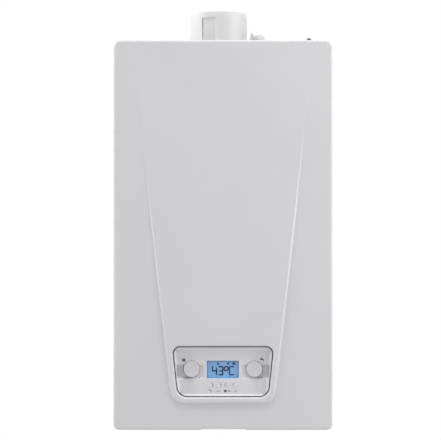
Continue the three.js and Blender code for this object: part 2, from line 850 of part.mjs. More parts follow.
// Ribbed knob of the filling tap, turned from below.
function fillingTapKnob() {
  const profile = [
    [2.7, 8],
    [11, 8],
    [12, 9],
    [12, 19],
    [10, 21.5],
    [2.7, 21.5],
  ];
  const body = turned("z", profile, 65, -134, 24);
  const ribs = [];
  for (let k = 0; k < 6; k += 1) {
    const angle = (Math.PI * k) / 3;
    const x = 65 + 12 * Math.cos(angle);
    const y = -134 + 12 * Math.sin(angle);
    ribs.push(rod("z", 1.8, 9.5, 18.5, x, y, 6));
  }
  return join(body, ...ribs);
}

// Brass block under the flow side, with the diverter valve body and two unions on the back.
function flowManifold() {
  const [low, high] = MANIFOLD_Z;
  const block = prism("y", rectangle(-142, -53, low, high, 6, 2), -118, -82);
  const diverter = rod("z", 15, high - 2, 108, -88, TAIL_Y, 24);
  const unionLeft = rod("z", 13, high - 2, 106, -130, TAIL_Y, 20);
  const rearPort = rod("y", 8, -84, -76.6, -60, 84, 16);
  const bores = [-130, -65].map((x) => rod("z", 7, low - 2, low + 8, x, TAIL_Y, 16));
  return cut(join(block, diverter, unionLeft, rearPort), ...bores);
}

// Brass block under the return side: pump seat, safety valve boss and filter plug.
function returnManifold() {
  const [low, high] = MANIFOLD_Z;
  const block = prism("y", rectangle(53, 142, low, high, 6, 2), -118, -82);
  const seat = rod("z", 16, high - 2, 104, 110, TAIL_Y, 24);
  const ventSeat = rod("z", 9, high - 2, 104, 62, -104, 16);
  const rearPort = rod("y", 8, -84, -76.6, 62, 84, 16);
  const plug = rod("x", 11, 140, 149, TAIL_Y, 84, 6);
  const bores = [65, 130].map((x) => rod("z", 7, low - 2, low + 8, x, TAIL_Y, 16));
  return cut(join(block, seat, ventSeat, rearPort, plug), ...bores);
}

// Electric actuator on the diverter valve.
function diverterActuator() {
  const body = prism("z", rectangle(-110, -66, -124, -78, 5, 2), 112, 160, 2, 1);
  const collar = rod("z", 14, 108.4, 113, -88, TAIL_Y, 24);
  const socket = box(-96, -80, -134, -122, 126, 138);
  return join(body, collar, socket);
}

// Brazed plate exchanger: a stack of pressed plates with two ports on each side.
function plateHeatExchanger() {
  const front = -76.2;
  const plates = [];
  for (let k = 0; k < 3; k += 1) {
    const y = front + 5 + k * 13;
    plates.push(prism("y", rectangle(-78, 80, 74, 148, 12, 2), y, y + 8));
  }
  const core = prism("y", rectangle(-76, 78, 76, 146, 11, 2), front + 2, front + 44);
  return join(core, ...plates);
}

// Cast volute of the circulation pump on the return manifold.
function pumpVolute() {
  const body = turned("y", [[0, -92], [30, -92], [40, -100], [40, -126], [34, -132], [0, -132]], 110, 150, 28);
  const foot = rod("z", 14, 104.4, 122, 110, TAIL_Y, 20);
  const inlet = rod("z", 13, 178, 198, 110, TAIL_Y, 20);
  return join(body, foot, inlet);
}

// Pump motor with its terminal box and end cap.
function pumpMotor() {
  const profile = [
    [0, -132.4],
    [32, -132.4],
    [32, -140],
    [36, -142],
    [36, -172],
    [33, -178],
    [14, -180],
    [14, -183],
    [0, -183],
  ];
  const motor = turned("y", profile, 110, 150, 28);
  const terminals = prism("y", rectangle(138, 166, 128, 172, 4, 2), -176, -142);
  return join(motor, terminals);
}

// Automatic air vent beside the pump.
function airVent() {
  const profile = [
    [0, 104.4],
    [6, 104.4],
    [6, 110],
    [9.5, 113],
    [9.5, 148],
    [6, 151],
    [4, 151],
    [4, 158],
    [0, 158],
  ];
  return turned("z", profile, 58, -104, 18);
}

// Safety valve on the return manifold with its discharge spout through the bottom plate.
function safetyValve() {
  const body = turned("y", [[0, -118.4], [12, -118.4], [15, -122], [15, -146], [11, -149], [0, -149]], 95, 83, 24);
  const spout = rod("z", 6.5, 30, 76, 95, -136, 16);
  const bore = rod("z", 4.5, 28, 60, 95, -136, 16);
  const spindle = rod("y", 2.4, -164, -148, 95, 83, 12);
  return cut(join(body, spout, spindle), bore);
}

// Ribbed release knob of the safety valve.
function safetyValveKnob() {
  const profile = [
    [2.7, -150],
    [12, -150],
    [13, -152],
    [13, -168],
    [11, -171],
    [0, -171],
    [0, -164.6],
    [2.7, -164.6],
  ];
  const body = turned("y", profile, 95, 83, 24);
  const ribs = [];
  for (let k = 0; k < 6; k += 1) {
    const angle = (Math.PI * k) / 3;
    ribs.push(rod("y", 1.8, -168, -152, 95 + 13 * Math.cos(angle), 83 + 13 * Math.sin(angle), 6));
  }
  return join(body, ...ribs);
}

// Condensate trap with its outlet below the bottom plate.
function siphonTrap() {
  const profile = [
    [0, 192],
    [8, 192],
    [8, 184],
    [20, 174],
    [20, 92],
    [22, 90],
    [22, 66],
    [10, 60],
    [10, 30],
    [6, 30],
    [6, 56],
    [0, 56],
  ];
  return turned("z", profile, -165, -48, 24);
}

// Corrugated condensate hose from the exchanger down to the trap.
function condensateHose() {
  const route = [
    [-60, -60, 351.6],
    [-60, -60, 330],
    [-165, -48, 300],
    [-165, -48, 192.4],
  ];
  return pipe(route, 7, 14, 10, 2);
}

function flowPipe() {
  return pipe([[-130, -100, 379.6], [-130, -100, 106.4]], 9, 10, 12);
}

function returnPipe() {
  const route = [
    [20, -90, 365.6],
    [20, -90, 238],
    [110, -100, 238],
    [110, -100, 198.4],
  ];
  return pipe(route, 9, 18, 12, 3);
}

function vesselHose() {
  const route = [
    [165, -100, 211.6],
    [165, -100, 110],
    [165, -64, 92],
    [128, -64, 92],
    [128, -81.6, 92],
  ];
  return pipe(route, 4.5, 8, 8, 2);
}

// Gas pipe from the tail up to the gas valve.
function gasSupplyPipe() {
  const route = [
    [0, TAIL_Y, 84.4],
    [0, TAIL_Y, 213],
    [92, TAIL_Y, 213],
    [92, -160, 213],
    [92, -160, 230.6],
  ];
  return pipe(route, 7, 12, 10, 2);
}

// Gas valve block with its two solenoids and the pressure regulator.
function gasValve() {
  const body = prism("x", rectangle(-188, -132, 234, 328, 5, 2), 84, 115);
  const solenoidTop = rod("y", 13, -204, -187, 99.5, 304, 24);
  const solenoidLow = rod("y", 13, -204, -187, 99.5, 268, 24);
  const inlet = rod("z", 8, 231, 236, 92, -160, 20);
  const outlet = rod("z", 8, 326, 334, 99, -160, 20);
  return join(body, solenoidTop, solenoidLow, inlet, outlet);
}

// Thin gas pipe from the valve to the venturi.
function gasInjectionPipe() {
  const route = [
    [99, -160, 334.4],
    [99, -160, 352],
    [99, -250, 352],
    [FAN_X, -250, 352],
    [FAN_X, -250, FAN_Z + 42.4],
  ];
  return pipe(route, 5, 9, 8, 2);
}

// ---------------------------------------------------------------- control panel
// Dished fascia filling the cover opening, with holes for the knobs, the buttons and the display.
function controlFascia() {
  const front = -283.2;
  const outer = prism("y", apertureOutline(-FASCIA_GAP), front, -262.6);
  const dish = prism("y", apertureOutline(-FASCIA_GAP - 1.8), -300, FASCIA_FLOOR_Y, 9, 3);
  const pocket = prism("y", apertureOutline(-FASCIA_GAP - 15, 3), FASCIA_FLOOR_Y + 2.5, -250);
  const knobHoles = [-KNOB_X, KNOB_X].map((x) => rod("y", 4.4, -300, -250, x, CONTROL_Z, 20));
  const buttonHoles = BUTTON_X.map((x) => rod("y", BUTTON_R + 0.6, -300, -250, x, BUTTON_Z, 24));
  const lowPocket = box(-34, 34, FASCIA_FLOOR_Y + 2.5, -250, 71, 90);
  const z0 = CONTROL_Z - LCD_H / 2;
  const lcdHole = prism("y", rectangle(-LCD_W / 2, LCD_W / 2, z0, z0 + LCD_H, 1.5, 2), -300, -250);
  return cut(outer, dish, pocket, lowPocket, ...knobHoles, ...buttonHoles, lcdHole);
}

// Clear pane behind the display opening.
function lcdWindow() {
  const half = LCD_W / 2 + 3;
  return box(-half, half, FASCIA_FLOOR_Y + 2.9, FASCIA_FLOOR_Y + 4.3, CONTROL_Z - LCD_H / 2 - 3, CONTROL_Z + LCD_H / 2 + 3);
}

// Display module behind the pane, with the glass seat stepped towards the front.
function lcdDisplay() {
  const half = LCD_W / 2 + 3;
  const low = CONTROL_Z - LCD_H / 2 - 3;
  const high = CONTROL_Z + LCD_H / 2 + 3;
  const seat = box(-half, half, FASCIA_FLOOR_Y + 4.7, FASCIA_FLOOR_Y + 7, low, high);
  const bezel = box(-half + 2, half - 2, FASCIA_FLOOR_Y + 6.8, -262.4, low + 2, high - 2);
  return join(seat, bezel);
}

// Control knob: smooth disc with a domed face and a soft edge, on a shaft.
function controlKnob(side) {
  const front = -284;
  const rear = FASCIA_FLOOR_Y - 0.8;
  const profile = [
    [0, front],
    [11, front + 0.5],
    [KNOB_R - 1, front + 1.3],
    [KNOB_R - 0.2, front + 2.4],
    [KNOB_R, front + 4],
    [KNOB_R, rear],
    [3.4, rear],
    [3.4, -255],
    [0, -255],
  ];
  return turned("y", profile, side * KNOB_X, CONTROL_Z, 40);
}

// Push button: domed cap, retaining flange behind the fascia and a stem.
function pushButton(x) {
  const floor = FASCIA_FLOOR_Y;
  const profile = [
    [0, floor - 2.2],
    [3.6, floor - 1.6],
    [BUTTON_R, floor - 0.2],
    [BUTTON_R, floor + 3],
    [BUTTON_R + 1.6, floor + 3],
    [BUTTON_R + 1.6, floor + 4.2],
    [2, floor + 4.2],
    [2, -264],
    [0, -264],
  ];
  return turned("y", profile, x, BUTTON_Z, 20);
}

// Plastic tray of the control box with hinge ears at its lower front edge.
function controlBox() {
  const [low, high] = BOX_Z;
  const [front, rear] = BOX_Y;
  const body = prism("y", rectangle(-BOX_HALF_W, BOX_HALF_W, low, high, 6, 2), front, rear);
  const hollow = prism("y", rectangle(-BOX_HALF_W + 2.5, BOX_HALF_W - 2.5, low + 2.5, high - 2.5, 4, 2), front + 2.5, rear + 5);
  const shaftHoles = [-KNOB_X, KNOB_X].map((x) => rod("y", 4.4, front - 2, front + 4, x, CONTROL_Z, 16));
  const cableSlot = box(-22, 22, front - 2, front + 4, 160, 168);
  const ears = [-1, 1].map((s) => {
    const inner = s * (BOX_HALF_W - 0.5);
    const outer = s * 193.1;
    return rod("x", 5, Math.min(inner, outer), Math.max(inner, outer), HINGE_Y, HINGE_Z, 18);
  });
  return cut(join(body, ...ears), hollow, ...shaftHoles, cableSlot);
}

// Rear lid of the control box with vent slots.
function controlBoxCover() {
  const [low, high] = BOX_Z;
  const [, rear] = BOX_Y;
  const lid = prism("y", rectangle(-BOX_HALF_W, BOX_HALF_W, low, high, 6, 2), rear + 0.4, rear + 2.6);
  const slots = [];
  for (let k = 0; k < 8; k += 1) {
    const x = -140 + 40 * k;
    slots.push(box(x - 12, x + 12, rear - 1, rear + 5, 160, 164));
  }
  return cut(lid, ...slots);
}

// Circuit board with potentiometers, key switches, relays and the terminal strip.
function mainBoard() {
  const board = box(-150, 150, -246, -244.4, 56, 172);
  const pots = [-KNOB_X, KNOB_X].map((x) => rod("y", 9, -254.6, -245, x, CONTROL_Z, 16));
  const relays = [0, 1, 2].map((k) => box(84 + 22 * k, 102 + 22 * k, -257, -245, 66, 94));
  const terminals = box(-140, -60, -257, -245, 60, 74);
  const capacitor = rod("y", 9, -258.5, -245, -116, 150, 16);
  const transformer = box(96, 138, -245, -212, 120, 160);
  return join(board, ...pots, ...relays, terminals, capacitor, transformer);
}

// ---------------------------------------------------------------- assembly
const boiler = new THREE.Group();
boiler.position.z = -BRACKET_Z;

function add(name, made, colour, roughness = 0.5, metalness = 0) {
  const material = new THREE.MeshStandardMaterial({ color: colour, roughness, metalness });
  material.name = name;
  const mesh = new THREE.Mesh(geometryOf(made), material);
  mesh.name = name;
  boiler.add(mesh);
}

const WHITE = 0xe9e9ec;
const STEEL = 0xb9bcc0;
const BRASS = 0xb08d4f;
const COPPER = 0xb87350;
const BLACK = 0x222426;
const GREY = 0x8e9296;

add("front_cover", frontCover(), WHITE, 0.35);
add("cover_screw_left", coverScrew(-1), STEEL, 0.35, 1);
add("cover_screw_right", coverScrew(1), STEEL, 0.35, 1);
add("side_panel_left", sidePanel(-1), WHITE, 0.4);
add("side_panel_right", sidePanel(1), WHITE, 0.4);
add("top_plate", topPlate(), WHITE, 0.4);
add("bottom_plate", bottomPlate(), STEEL, 0.45, 1);
add("back_frame", backFrame(), STEEL, 0.45, 1);
add("wall_bracket", wallBracket(), STEEL, 0.4, 1);

add("flue_turret", flueTurret(), 0xf2f2f0, 0.4);
add("flue_inner_pipe", flueInnerPipe(), 0xe6e6e2, 0.45);
add("test_point_cap", testPointCap(), 0x9a9da1, 0.5);
add("vessel_valve_cap", vesselValveCap(), BLACK, 0.55);
add("expansion_vessel", expansionVessel(), 0xa3231f, 0.4);
add("vessel_hose", vesselHose(), GREY, 0.5);

add("heat_exchanger_shell", exchangerShell(), 0x3a3d40, 0.6);
add("exchanger_coil", exchangerCoil(), STEEL, 0.3, 1);
add("burner_tube", burnerTube(), STEEL, 0.4, 1);
add("burner_door", burnerDoor(), 0xc3c5c7, 0.5, 1);
add("premix_manifold", premixManifold(), 0xb5b8bb, 0.55, 1);
ELECTRODES.forEach((place) => add(place.name, electrode(place), 0xf0eee6, 0.4));

add("fan_housing", fanHousing(), 0xb5b8bb, 0.55, 1);
add("fan_impeller", fanImpeller(), STEEL, 0.4, 1);
add("fan_motor", fanMotor(), BLACK, 0.5);
add("air_gas_venturi", airGasVenturi(), BLACK, 0.5);
add("gas_valve", gasValve(), 0xc3c5c7, 0.5, 1);
add("gas_supply_pipe", gasSupplyPipe(), COPPER, 0.35, 1);
add("gas_injection_pipe", gasInjectionPipe(), STEEL, 0.35, 1);

add("flow_pipe", flowPipe(), COPPER, 0.35, 1);
add("return_pipe", returnPipe(), COPPER, 0.35, 1);
add("condensate_hose", condensateHose(), 0x9a9da1, 0.6);
add("siphon_trap", siphonTrap(), 0xd8d8d4, 0.5);
add("pump_volute", pumpVolute(), 0x5a5d60, 0.6);
add("pump_motor", pumpMotor(), BLACK, 0.5);
add("air_vent", airVent(), BRASS, 0.4, 1);
add("plate_heat_exchanger", plateHeatExchanger(), STEEL, 0.35, 1);
add("flow_manifold", flowManifold(), BRASS, 0.4, 1);
add("return_manifold", returnManifold(), BRASS, 0.4, 1);
add("diverter_actuator", diverterActuator(), BLACK, 0.5);
add("safety_valve", safetyValve(), BRASS, 0.4, 1);
add("safety_valve_knob", safetyValveKnob(), 0xb02a22, 0.5);
add("filling_tap_knob", fillingTapKnob(), 0x24467a, 0.5);
TAILS.forEach((tail) => {
  const made = tail.name === "cold_water_tail" ? coldWaterTail(tail) : pipeTail(tail);
  add(tail.name, made, BRASS, 0.4, 1);
});

add("control_fascia", controlFascia(), 0xcfcfd2, 0.45);
add("control_box", controlBox(), 0x3c3e41, 0.55);
add("control_box_cover", controlBoxCover(), 0x3c3e41, 0.55);
add("main_board", mainBoard(), 0x2c6a3c, 0.5);
add("lcd_display", lcdDisplay(), 0x78afe1, 0.3);
add("lcd_window", lcdWindow(), 0xdfe8ee, 0.1);
add("heating_knob", controlKnob(-1), 0xd6d6d9, 0.4);
add("hot_water_knob", controlKnob(1), 0xd6d6d9, 0.4);
["return", "minus", "plus", "confirm"].forEach((use, i) => {
  add("button_" + use, pushButton(BUTTON_X[i]), 0xdedee0, 0.4);
});

const part = new THREE.Group();
part.name = "combi_boiler";
part.add(boiler);

export default part;
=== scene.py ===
"""Wall-hung combi boiler: enamelled casing, dished control panel, flue turret and the works inside.

Sizes are millimetres in casing coordinates: x = 0 in the middle of the casing, y = 0 on the wall with
the front at negative y, z = 0 at the bottom edge of the casing.
"""
import json
from functools import cache
from math import atan2, copysign, cos, degrees, hypot, pi, radians, sin, tan

import bmesh
import bpy
from mathutils import Matrix, Vector
from mathutils.geometry import delaunay_2d_cdt

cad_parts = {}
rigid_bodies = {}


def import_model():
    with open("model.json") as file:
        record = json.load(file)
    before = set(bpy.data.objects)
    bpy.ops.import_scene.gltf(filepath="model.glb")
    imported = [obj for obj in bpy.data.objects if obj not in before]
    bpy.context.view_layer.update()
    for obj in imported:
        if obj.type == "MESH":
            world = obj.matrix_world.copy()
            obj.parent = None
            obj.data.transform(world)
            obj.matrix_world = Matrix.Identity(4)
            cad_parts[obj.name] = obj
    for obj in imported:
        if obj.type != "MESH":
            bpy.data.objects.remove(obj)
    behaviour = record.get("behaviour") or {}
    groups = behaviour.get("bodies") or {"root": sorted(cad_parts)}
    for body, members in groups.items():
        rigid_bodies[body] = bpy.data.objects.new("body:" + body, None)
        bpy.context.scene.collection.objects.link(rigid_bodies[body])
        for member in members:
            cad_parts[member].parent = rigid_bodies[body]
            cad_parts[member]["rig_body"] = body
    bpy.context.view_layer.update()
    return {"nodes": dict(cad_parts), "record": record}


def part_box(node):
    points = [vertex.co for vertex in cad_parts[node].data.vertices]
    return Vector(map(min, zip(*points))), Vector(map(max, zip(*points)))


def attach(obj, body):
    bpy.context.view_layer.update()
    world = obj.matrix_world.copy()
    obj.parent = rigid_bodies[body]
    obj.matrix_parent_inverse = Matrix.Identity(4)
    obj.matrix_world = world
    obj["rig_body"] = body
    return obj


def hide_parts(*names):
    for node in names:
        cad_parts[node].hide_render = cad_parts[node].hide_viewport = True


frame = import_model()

bl_info = {
    "name": "Combi boiler",
    "version": (1, 0, 0),
    "blender": (4, 5, 0),
    "location": "View3D > Sidebar > Boiler",
    "description": "Builds the enamelled casing, controls, flue and inner works of a wall-hung boiler",
    "category": "Add Mesh",
}

MM = 0.001
BASE_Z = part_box("front_cover")[0][2]  # bottom edge of the casing in the row frame, in metres
SLOT_OF = {part["node"]: part["material_slot"] for part in frame["record"]["subparts"]}

# ---- driving sizes, in millimetres
CASE_HALF_W, CASE_H = 196.5, 700.0
CORNER_TOP, CORNER_BOTTOM = 14.0, 10.5
FACE_Y, COVER_REAR_Y = -281.0, -240.0
SHEET = 1.5
TONGUE_BOTTOM, TONGUE_TOP, TONGUE_CORNER = 48.4, 650.0, 21.0
OPEN_LOW, OPEN_LOW_HALF, OPEN_LOW_R = 59.1, 82.0, 19.0  # control opening: place, half width and corner
OPEN_HIGH, OPEN_HIGH_HALF, OPEN_HIGH_R = 150.4, 91.7, 13.2
COLLAR_REAR_Y = -272.5
FASCIA_GAP, FASCIA_RIM_Y, FLOOR_Y = 1.6, -283.2, -277.0
BOTTOM_SLOPE = 4.6
CONTROL_Z = 109.2
KNOB_X, KNOB_GAP, KNOB_PROUD = 56.3, 0.95, 1.7
BUTTON_Z, BUTTON_HOLE_R, BUTTON_R = 80.0, 5.15, 4.8
BUTTON_XS = (-21.9, -7.3, 7.3, 21.9)
DISPLAY = (-28.9, 28.1, 93.2, 124.0)  # left, right, bottom and top of the display's frame
FLUE_X, FLUE_Y = -8.1, -125.0
TURRET_R, TURRET_LOW, TURRET_HIGH = 53.0, 697.0, 763.0
POCKET_START = 36.0  # degrees from the front to the first pocket
DRUM_X, DRUM_Z = -45.0, 480.0
DRUM, DRUM_R = (DRUM_X, DRUM_Z), 118.0
FAN_X, FAN_Z = 11.0, 285.0
FAN = (FAN_X, FAN_Z)
TAIL_Y = -100.0
TAP = (65.0, -134.0)
PUMP = (110.0, 150.0)
VALVE = (95.0, 83.0)


# ---- settings that a user may change
def linear(hex_colour):
    """sRGB hex colour as linear RGBA."""
    values = [int(hex_colour[k:k + 2], 16) / 255 for k in (0, 2, 4)]
    return (*(v / 12.92 if v <= 0.04045 else ((v + 0.055) / 1.055) ** 2.4 for v in values), 1.0)


def length(name, description, default, low, high):
    """A size, given here in millimetres, that the panel shows as a length."""
    return bpy.props.FloatProperty(name=name, description=description, default=default * MM, min=low * MM,
                                   max=high * MM, unit="LENGTH", precision=4)


def colour(name, description, default):
    """A colour, given here as sRGB hex, that the panel shows as a swatch."""
    return bpy.props.FloatVectorProperty(name=name, description=description, default=linear(default)[:3],
                                         min=0.0, max=1.0, subtype="COLOR")


class CasingSettings(bpy.types.PropertyGroup):
    """Sizes and colours of the sheet-metal casing."""

    edge_radius: length("Edge radius", "Rounding between the front and the side walls", 4.0, 1.0, 6.0)
    tongue_rise: length("Tongue rise", "Height of the raised tongue at its lower end", 4.0, 0.5, 4.0)
    crease_width: length("Crease width", "Width of the slope along the tongue's edge", 4.6, 2.0, 10.0)
    lip_radius: length("Lip radius", "Rounding of the lip round the control opening", 3.2, 0.5, 4.0)
    enamel: colour("Enamel colour", "Colour of the powder coat", "D3D3D7")
    steel: colour("Zinc colour", "Colour of the galvanised sheet", "B9BDC1")


class FlueSettings(bpy.types.PropertyGroup):
    """Sizes and colours of the flue turret and the caps."""

    segments: bpy.props.IntProperty(
        name="Turret segments", description="Faces round the turret", default=240, min=48, max=480)
    pocket_depth: length("Pocket depth", "Depth of the pockets in the turret's wall", 2.4, 0.2, 3.0)
    turret: colour("Turret colour", "Colour of the white moulding", "D3D3D2")
    cap: colour("Cap colour", "Colour of the sampling cap", "CACBCE")


class ControlSettings(bpy.types.PropertyGroup):
    """Sizes and colours of the control panel."""

    knob_radius: length("Knob radius", "Outer radius of both knobs", 14.5, 10.0, 14.5)
    side_slope: length("Side slope", "Width of the dish's rise at its sides", 4.0, 3.0, 30.0)
    top_slope: length("Top slope", "Width of the dish's rise at its top", 8.0, 3.0, 30.0)
    fascia: colour("Fascia colour", "Colour of the fascia and the buttons", "D6D6DA")
    knob: colour("Knob colour", "Colour of the knobs", "CBCACF")
    display: colour("Display colour", "Colour of the lit display", "70A3CF")
    ink: colour("Print colour", "Colour of the printed symbols", "55565B")
    segment: colour("Segment colour", "Colour of the display's segments", "0B2350")


class StageSettings(bpy.types.PropertyGroup):
    """Floor and lamps."""

    floor_drop: length("Floor drop", "Distance from the casing's bottom to the floor", 900.0, 100.0, 2000.0)
    lamp_power: bpy.props.FloatProperty(
        name="Lamp power", description="Power that every lamp's own share multiplies", default=8.5,
        min=1.0, max=500.0, unit="POWER")
    floor: colour("Floor colour", "Colour of the floor", "E9E8E5")


# ---- small tools
def at(x, y, z):
    """A point in casing millimetres as a point in the row frame, in metres."""
    return Vector((x * MM, y * MM, z * MM + BASE_Z))


def in_mm(size):
    """A length setting in millimetres, to the micron."""
    return round(size / MM, 3)


def millimetre_box(node):
    """A node's box in casing millimetres: x0, x1, y0, y1, z0, z1."""
    (x0, y0, z0), (x1, y1, z1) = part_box(node)
    return x0 / MM, x1 / MM, y0 / MM, y1 / MM, (z0 - BASE_Z) / MM, (z1 - BASE_Z) / MM


def polar(centre, radius, angle):
    """The point at a distance and an angle from a centre."""
    return centre[0] + radius * cos(angle), centre[1] + radius * sin(angle)


def smooth(t):
    """Smooth step from 0 to 1."""
    t = min(max(t, 0.0), 1.0)
    return t * t * (3 - 2 * t)


def add_node(tree, kind, settings=None, links=None):
    """One node with its settings, and links given as input: (node, output)."""
    made = tree.nodes.new(kind)
    for key, value in (settings or {}).items():
        if isinstance(key, str) and hasattr(made, key):
            setattr(made, key, value)
        else:
            made.inputs[key].default_value = value
    for key, (source, output) in (links or {}).items():
        tree.links.new(source.outputs[output], made.inputs[key])
    return made


def new_material(name, colour, roughness, surface):
    """A node material with its Principled shader set, and the tree and shader to build on."""
    material = bpy.data.materials.new(name)
    material.use_nodes = True
    tree = material.node_tree
    shader = tree.nodes["Principled BSDF"]
    for key, value in {"Base Color": colour, "Roughness": roughness, **surface}.items():
        shader.inputs[key].default_value = value
    material.diffuse_color = colour
    return material, tree, shader


def across(size_mm):
    """Noise or cell scale, in object space, whose patches are a size in millimetres across."""
    return 1.0 / (size_mm * MM)


def mottle(tree, shader, colours, patch_mm, detail=3.0, low=0.35, high=0.65, stretch=(1, 1, 1)):
    """Base colour that wanders between two close colours, in patches of a size."""
    place = add_node(tree, "ShaderNodeTexCoord")
    size = add_node(tree, "ShaderNodeMapping", {"Scale": stretch}, {"Vector": (place, "Object")})
    noise = add_node(tree, "ShaderNodeTexNoise", {"Scale": across(patch_mm), "Detail": detail},
                     {"Vector": (size, "Vector")})
    ramp = add_node(tree, "ShaderNodeValToRGB", None, {"Fac": (noise, "Fac")})
    first, last = ramp.color_ramp.elements
    first.position, first.color = low, colours[0]
    last.position, last.color = high, colours[1]
    tree.links.new(ramp.outputs["Color"], shader.inputs["Base Color"])
    return size


def grain(tree, shader, source, grain_mm, depth_mm, strength=0.3):
    """Fine relief from noise, of a width and a height in millimetres."""
    noise = add_node(tree, "ShaderNodeTexNoise", {"Scale": across(grain_mm), "Detail": 2.0}, {"Vector": (source, 0)})
    bump = add_node(tree, "ShaderNodeBump", {"Strength": strength, "Distance": depth_mm * MM},
                    {"Height": (noise, "Fac")})
    tree.links.new(bump.outputs["Normal"], shader.inputs["Normal"])


def roughness_wander(tree, shader, source, patch_mm, low, high):
    """Roughness that wanders between two values, as handling and the mould leave it."""
    noise = add_node(tree, "ShaderNodeTexNoise", {"Scale": across(patch_mm), "Detail": 3.0}, {"Vector": (source, 0)})
    span = add_node(tree, "ShaderNodeMapRange", {"From Min": 0.3, "From Max": 0.7, "To Min": low, "To Max": high},
                    {"Value": (noise, "Fac")})
    tree.links.new(span.outputs["Result"], shader.inputs["Roughness"])


def shade(colour, factor):
    """A linear colour made lighter or darker."""
    return (*(min(c * factor, 1.0) for c in colour[:3]), colour[3])


# ---- materials
CASING, FLUE, CONTROLS = "boiler_casing", "boiler_flue", "boiler_controls"


def chosen(colour):
    """Linear colour from a hex value, or from a setting given as (group, property)."""
    if isinstance(colour, str):
        return linear(colour)
    group, name = colour
    return (*getattr(getattr(bpy.context.scene, group), name), 1.0)


@cache
def material_of(slot):
    """The finish of one material slot, made once."""
    return FINISHES[slot]()


def powder_coated_steel():
    """Polyester powder, baked on drawn sheet steel.

    The coat flows out before it sets, which gives a semi-gloss white with soft highlights and an orange peel
    that only unsettles its reflections. Real waves are 0.8 to 1.5 mm wide; they are drawn 1.8 mm wide, the
    finest that a pixel of the front view shows.
    """
    colour = chosen((CASING, "enamel"))
    material, tree, shader = new_material("powder_coated_steel_white", colour, 0.34, {"IOR": 1.5})
    size = mottle(tree, shader, (shade(colour, 0.985), shade(colour, 1.01)), 110.0)
    grain(tree, shader, size, 1.8, 0.02, 0.12)
    roughness_wander(tree, shader, size, 33.0, 0.32, 0.38)
    return material


def galvanised_sheet_steel():
    """Sheet steel, dipped in molten zinc.

    The zinc sets in flat crystals, 8 mm across here, and each one turns to the light its own way: a
    patchwork of close greys, some duller than others.
    """
    colour = chosen((CASING, "steel"))
    material, tree, shader = new_material("galvanised_sheet_steel", colour, 0.42, {"Metallic": 1.0})
    place = add_node(tree, "ShaderNodeTexCoord")
    cells = add_node(tree, "ShaderNodeTexVoronoi", {"Scale": across(8.0), "feature": "F1"},
                     {"Vector": (place, "Object")})
    ramp = add_node(tree, "ShaderNodeValToRGB", None, {"Fac": (cells, "Color")})
    ramp.color_ramp.elements[0].color = shade(colour, 0.86)
    ramp.color_ramp.elements[1].color = shade(colour, 1.08)
    tree.links.new(ramp.outputs["Color"], shader.inputs["Base Color"])
    span = add_node(tree, "ShaderNodeMapRange", {"To Min": 0.34, "To Max": 0.52}, {"Value": (cells, "Distance")})
    tree.links.new(span.outputs["Result"], shader.inputs["Roughness"])
    return material


def moulded(name, colour, rough=0.45, depth_mm=0.01, tone=0.03, grain_mm=1.8, ior=1.49):
    """Maker of a moulded or painted finish: even colour, slight flow marks 70 mm long, and a fine grain.

    A spark-eroded mould leaves grains 0.05 to 0.2 mm wide. They are drawn 1.8 mm wide unless a row says
    otherwise, because a pixel of the front view is that wide.
    """
    def make():
        base = chosen(colour)
        material, tree, shader = new_material(name, base, rough, {"IOR": ior})
        size = mottle(tree, shader, (shade(base, 1 - tone), shade(base, 1 + tone)), 70.0)
        grain(tree, shader, size, grain_mm, depth_mm, 0.25)
        roughness_wander(tree, shader, size, 25.0, rough - 0.04, rough + 0.05)
        return material
    return make


def metal(name, colour, rough, tone=0.06, stretch=(1, 1, 1), stain_mm=16.0, depth_mm=0.02):
    """Maker of a bare metal finish: stains of a size, and draw, turning or cast marks a ninth as wide."""
    def make():
        base = chosen(colour)
        material, tree, shader = new_material(name, base, rough, {"Metallic": 1.0})
        size = mottle(tree, shader, (shade(base, 1 - tone), shade(base, 1 + tone)), stain_mm, 4.0, 0.3, 0.7, stretch)
        grain(tree, shader, size, stain_mm / 9, depth_mm, 0.2)
        roughness_wander(tree, shader, size, stain_mm, rough - 0.06, rough + 0.08)
        return material
    return make


def backlit_liquid_crystal():
    """Liquid-crystal glass over a blue light guide.

    The guide spreads the lamps' light evenly, so the eye gets a flat light blue that glows a little.
    Colour and glow are painted slightly darker towards the top edge: a painted shade, as if the recess above the
    display shaded the glass.
    """
    colour = chosen((CONTROLS, "display"))
    material, tree, shader = new_material("backlit_liquid_crystal_glass", shade(colour, 0.9), 0.25,
                                          {"IOR": 1.5, "Emission Strength": 0.32})
    place = add_node(tree, "ShaderNodeTexCoord")
    split = add_node(tree, "ShaderNodeSeparateXYZ", None, {"Vector": (place, "Generated")})
    # painted shade: colour and glow run darker towards the top edge, as if the recess above shaded the glass
    ramp = add_node(tree, "ShaderNodeValToRGB", None, {"Fac": (split, "Z")})
    ramp.color_ramp.elements[0].color = colour
    ramp.color_ramp.elements[1].color = shade(colour, 0.86)
    tree.links.new(ramp.outputs["Color"], shader.inputs["Base Color"])
    tree.links.new(ramp.outputs["Color"], shader.inputs["Emission Color"])
    return material


def clear_cast_acrylic():
    """Acrylic pane, cast and polished: clear and faintly cool, with a slight haze of wipe marks 12 mm long."""
    material, tree, shader = new_material("clear_cast_acrylic", linear("F4F8FB"), 0.06,
                                          {"IOR": 1.49, "Transmission Weight": 1.0, "Alpha": 0.25})
    place = add_node(tree, "ShaderNodeTexCoord")
    size = add_node(tree, "ShaderNodeMapping", {"Scale": (0.3, 1, 1)}, {"Vector": (place, "Object")})
    roughness_wander(tree, shader, size, 12.0, 0.05, 0.09)
    return material


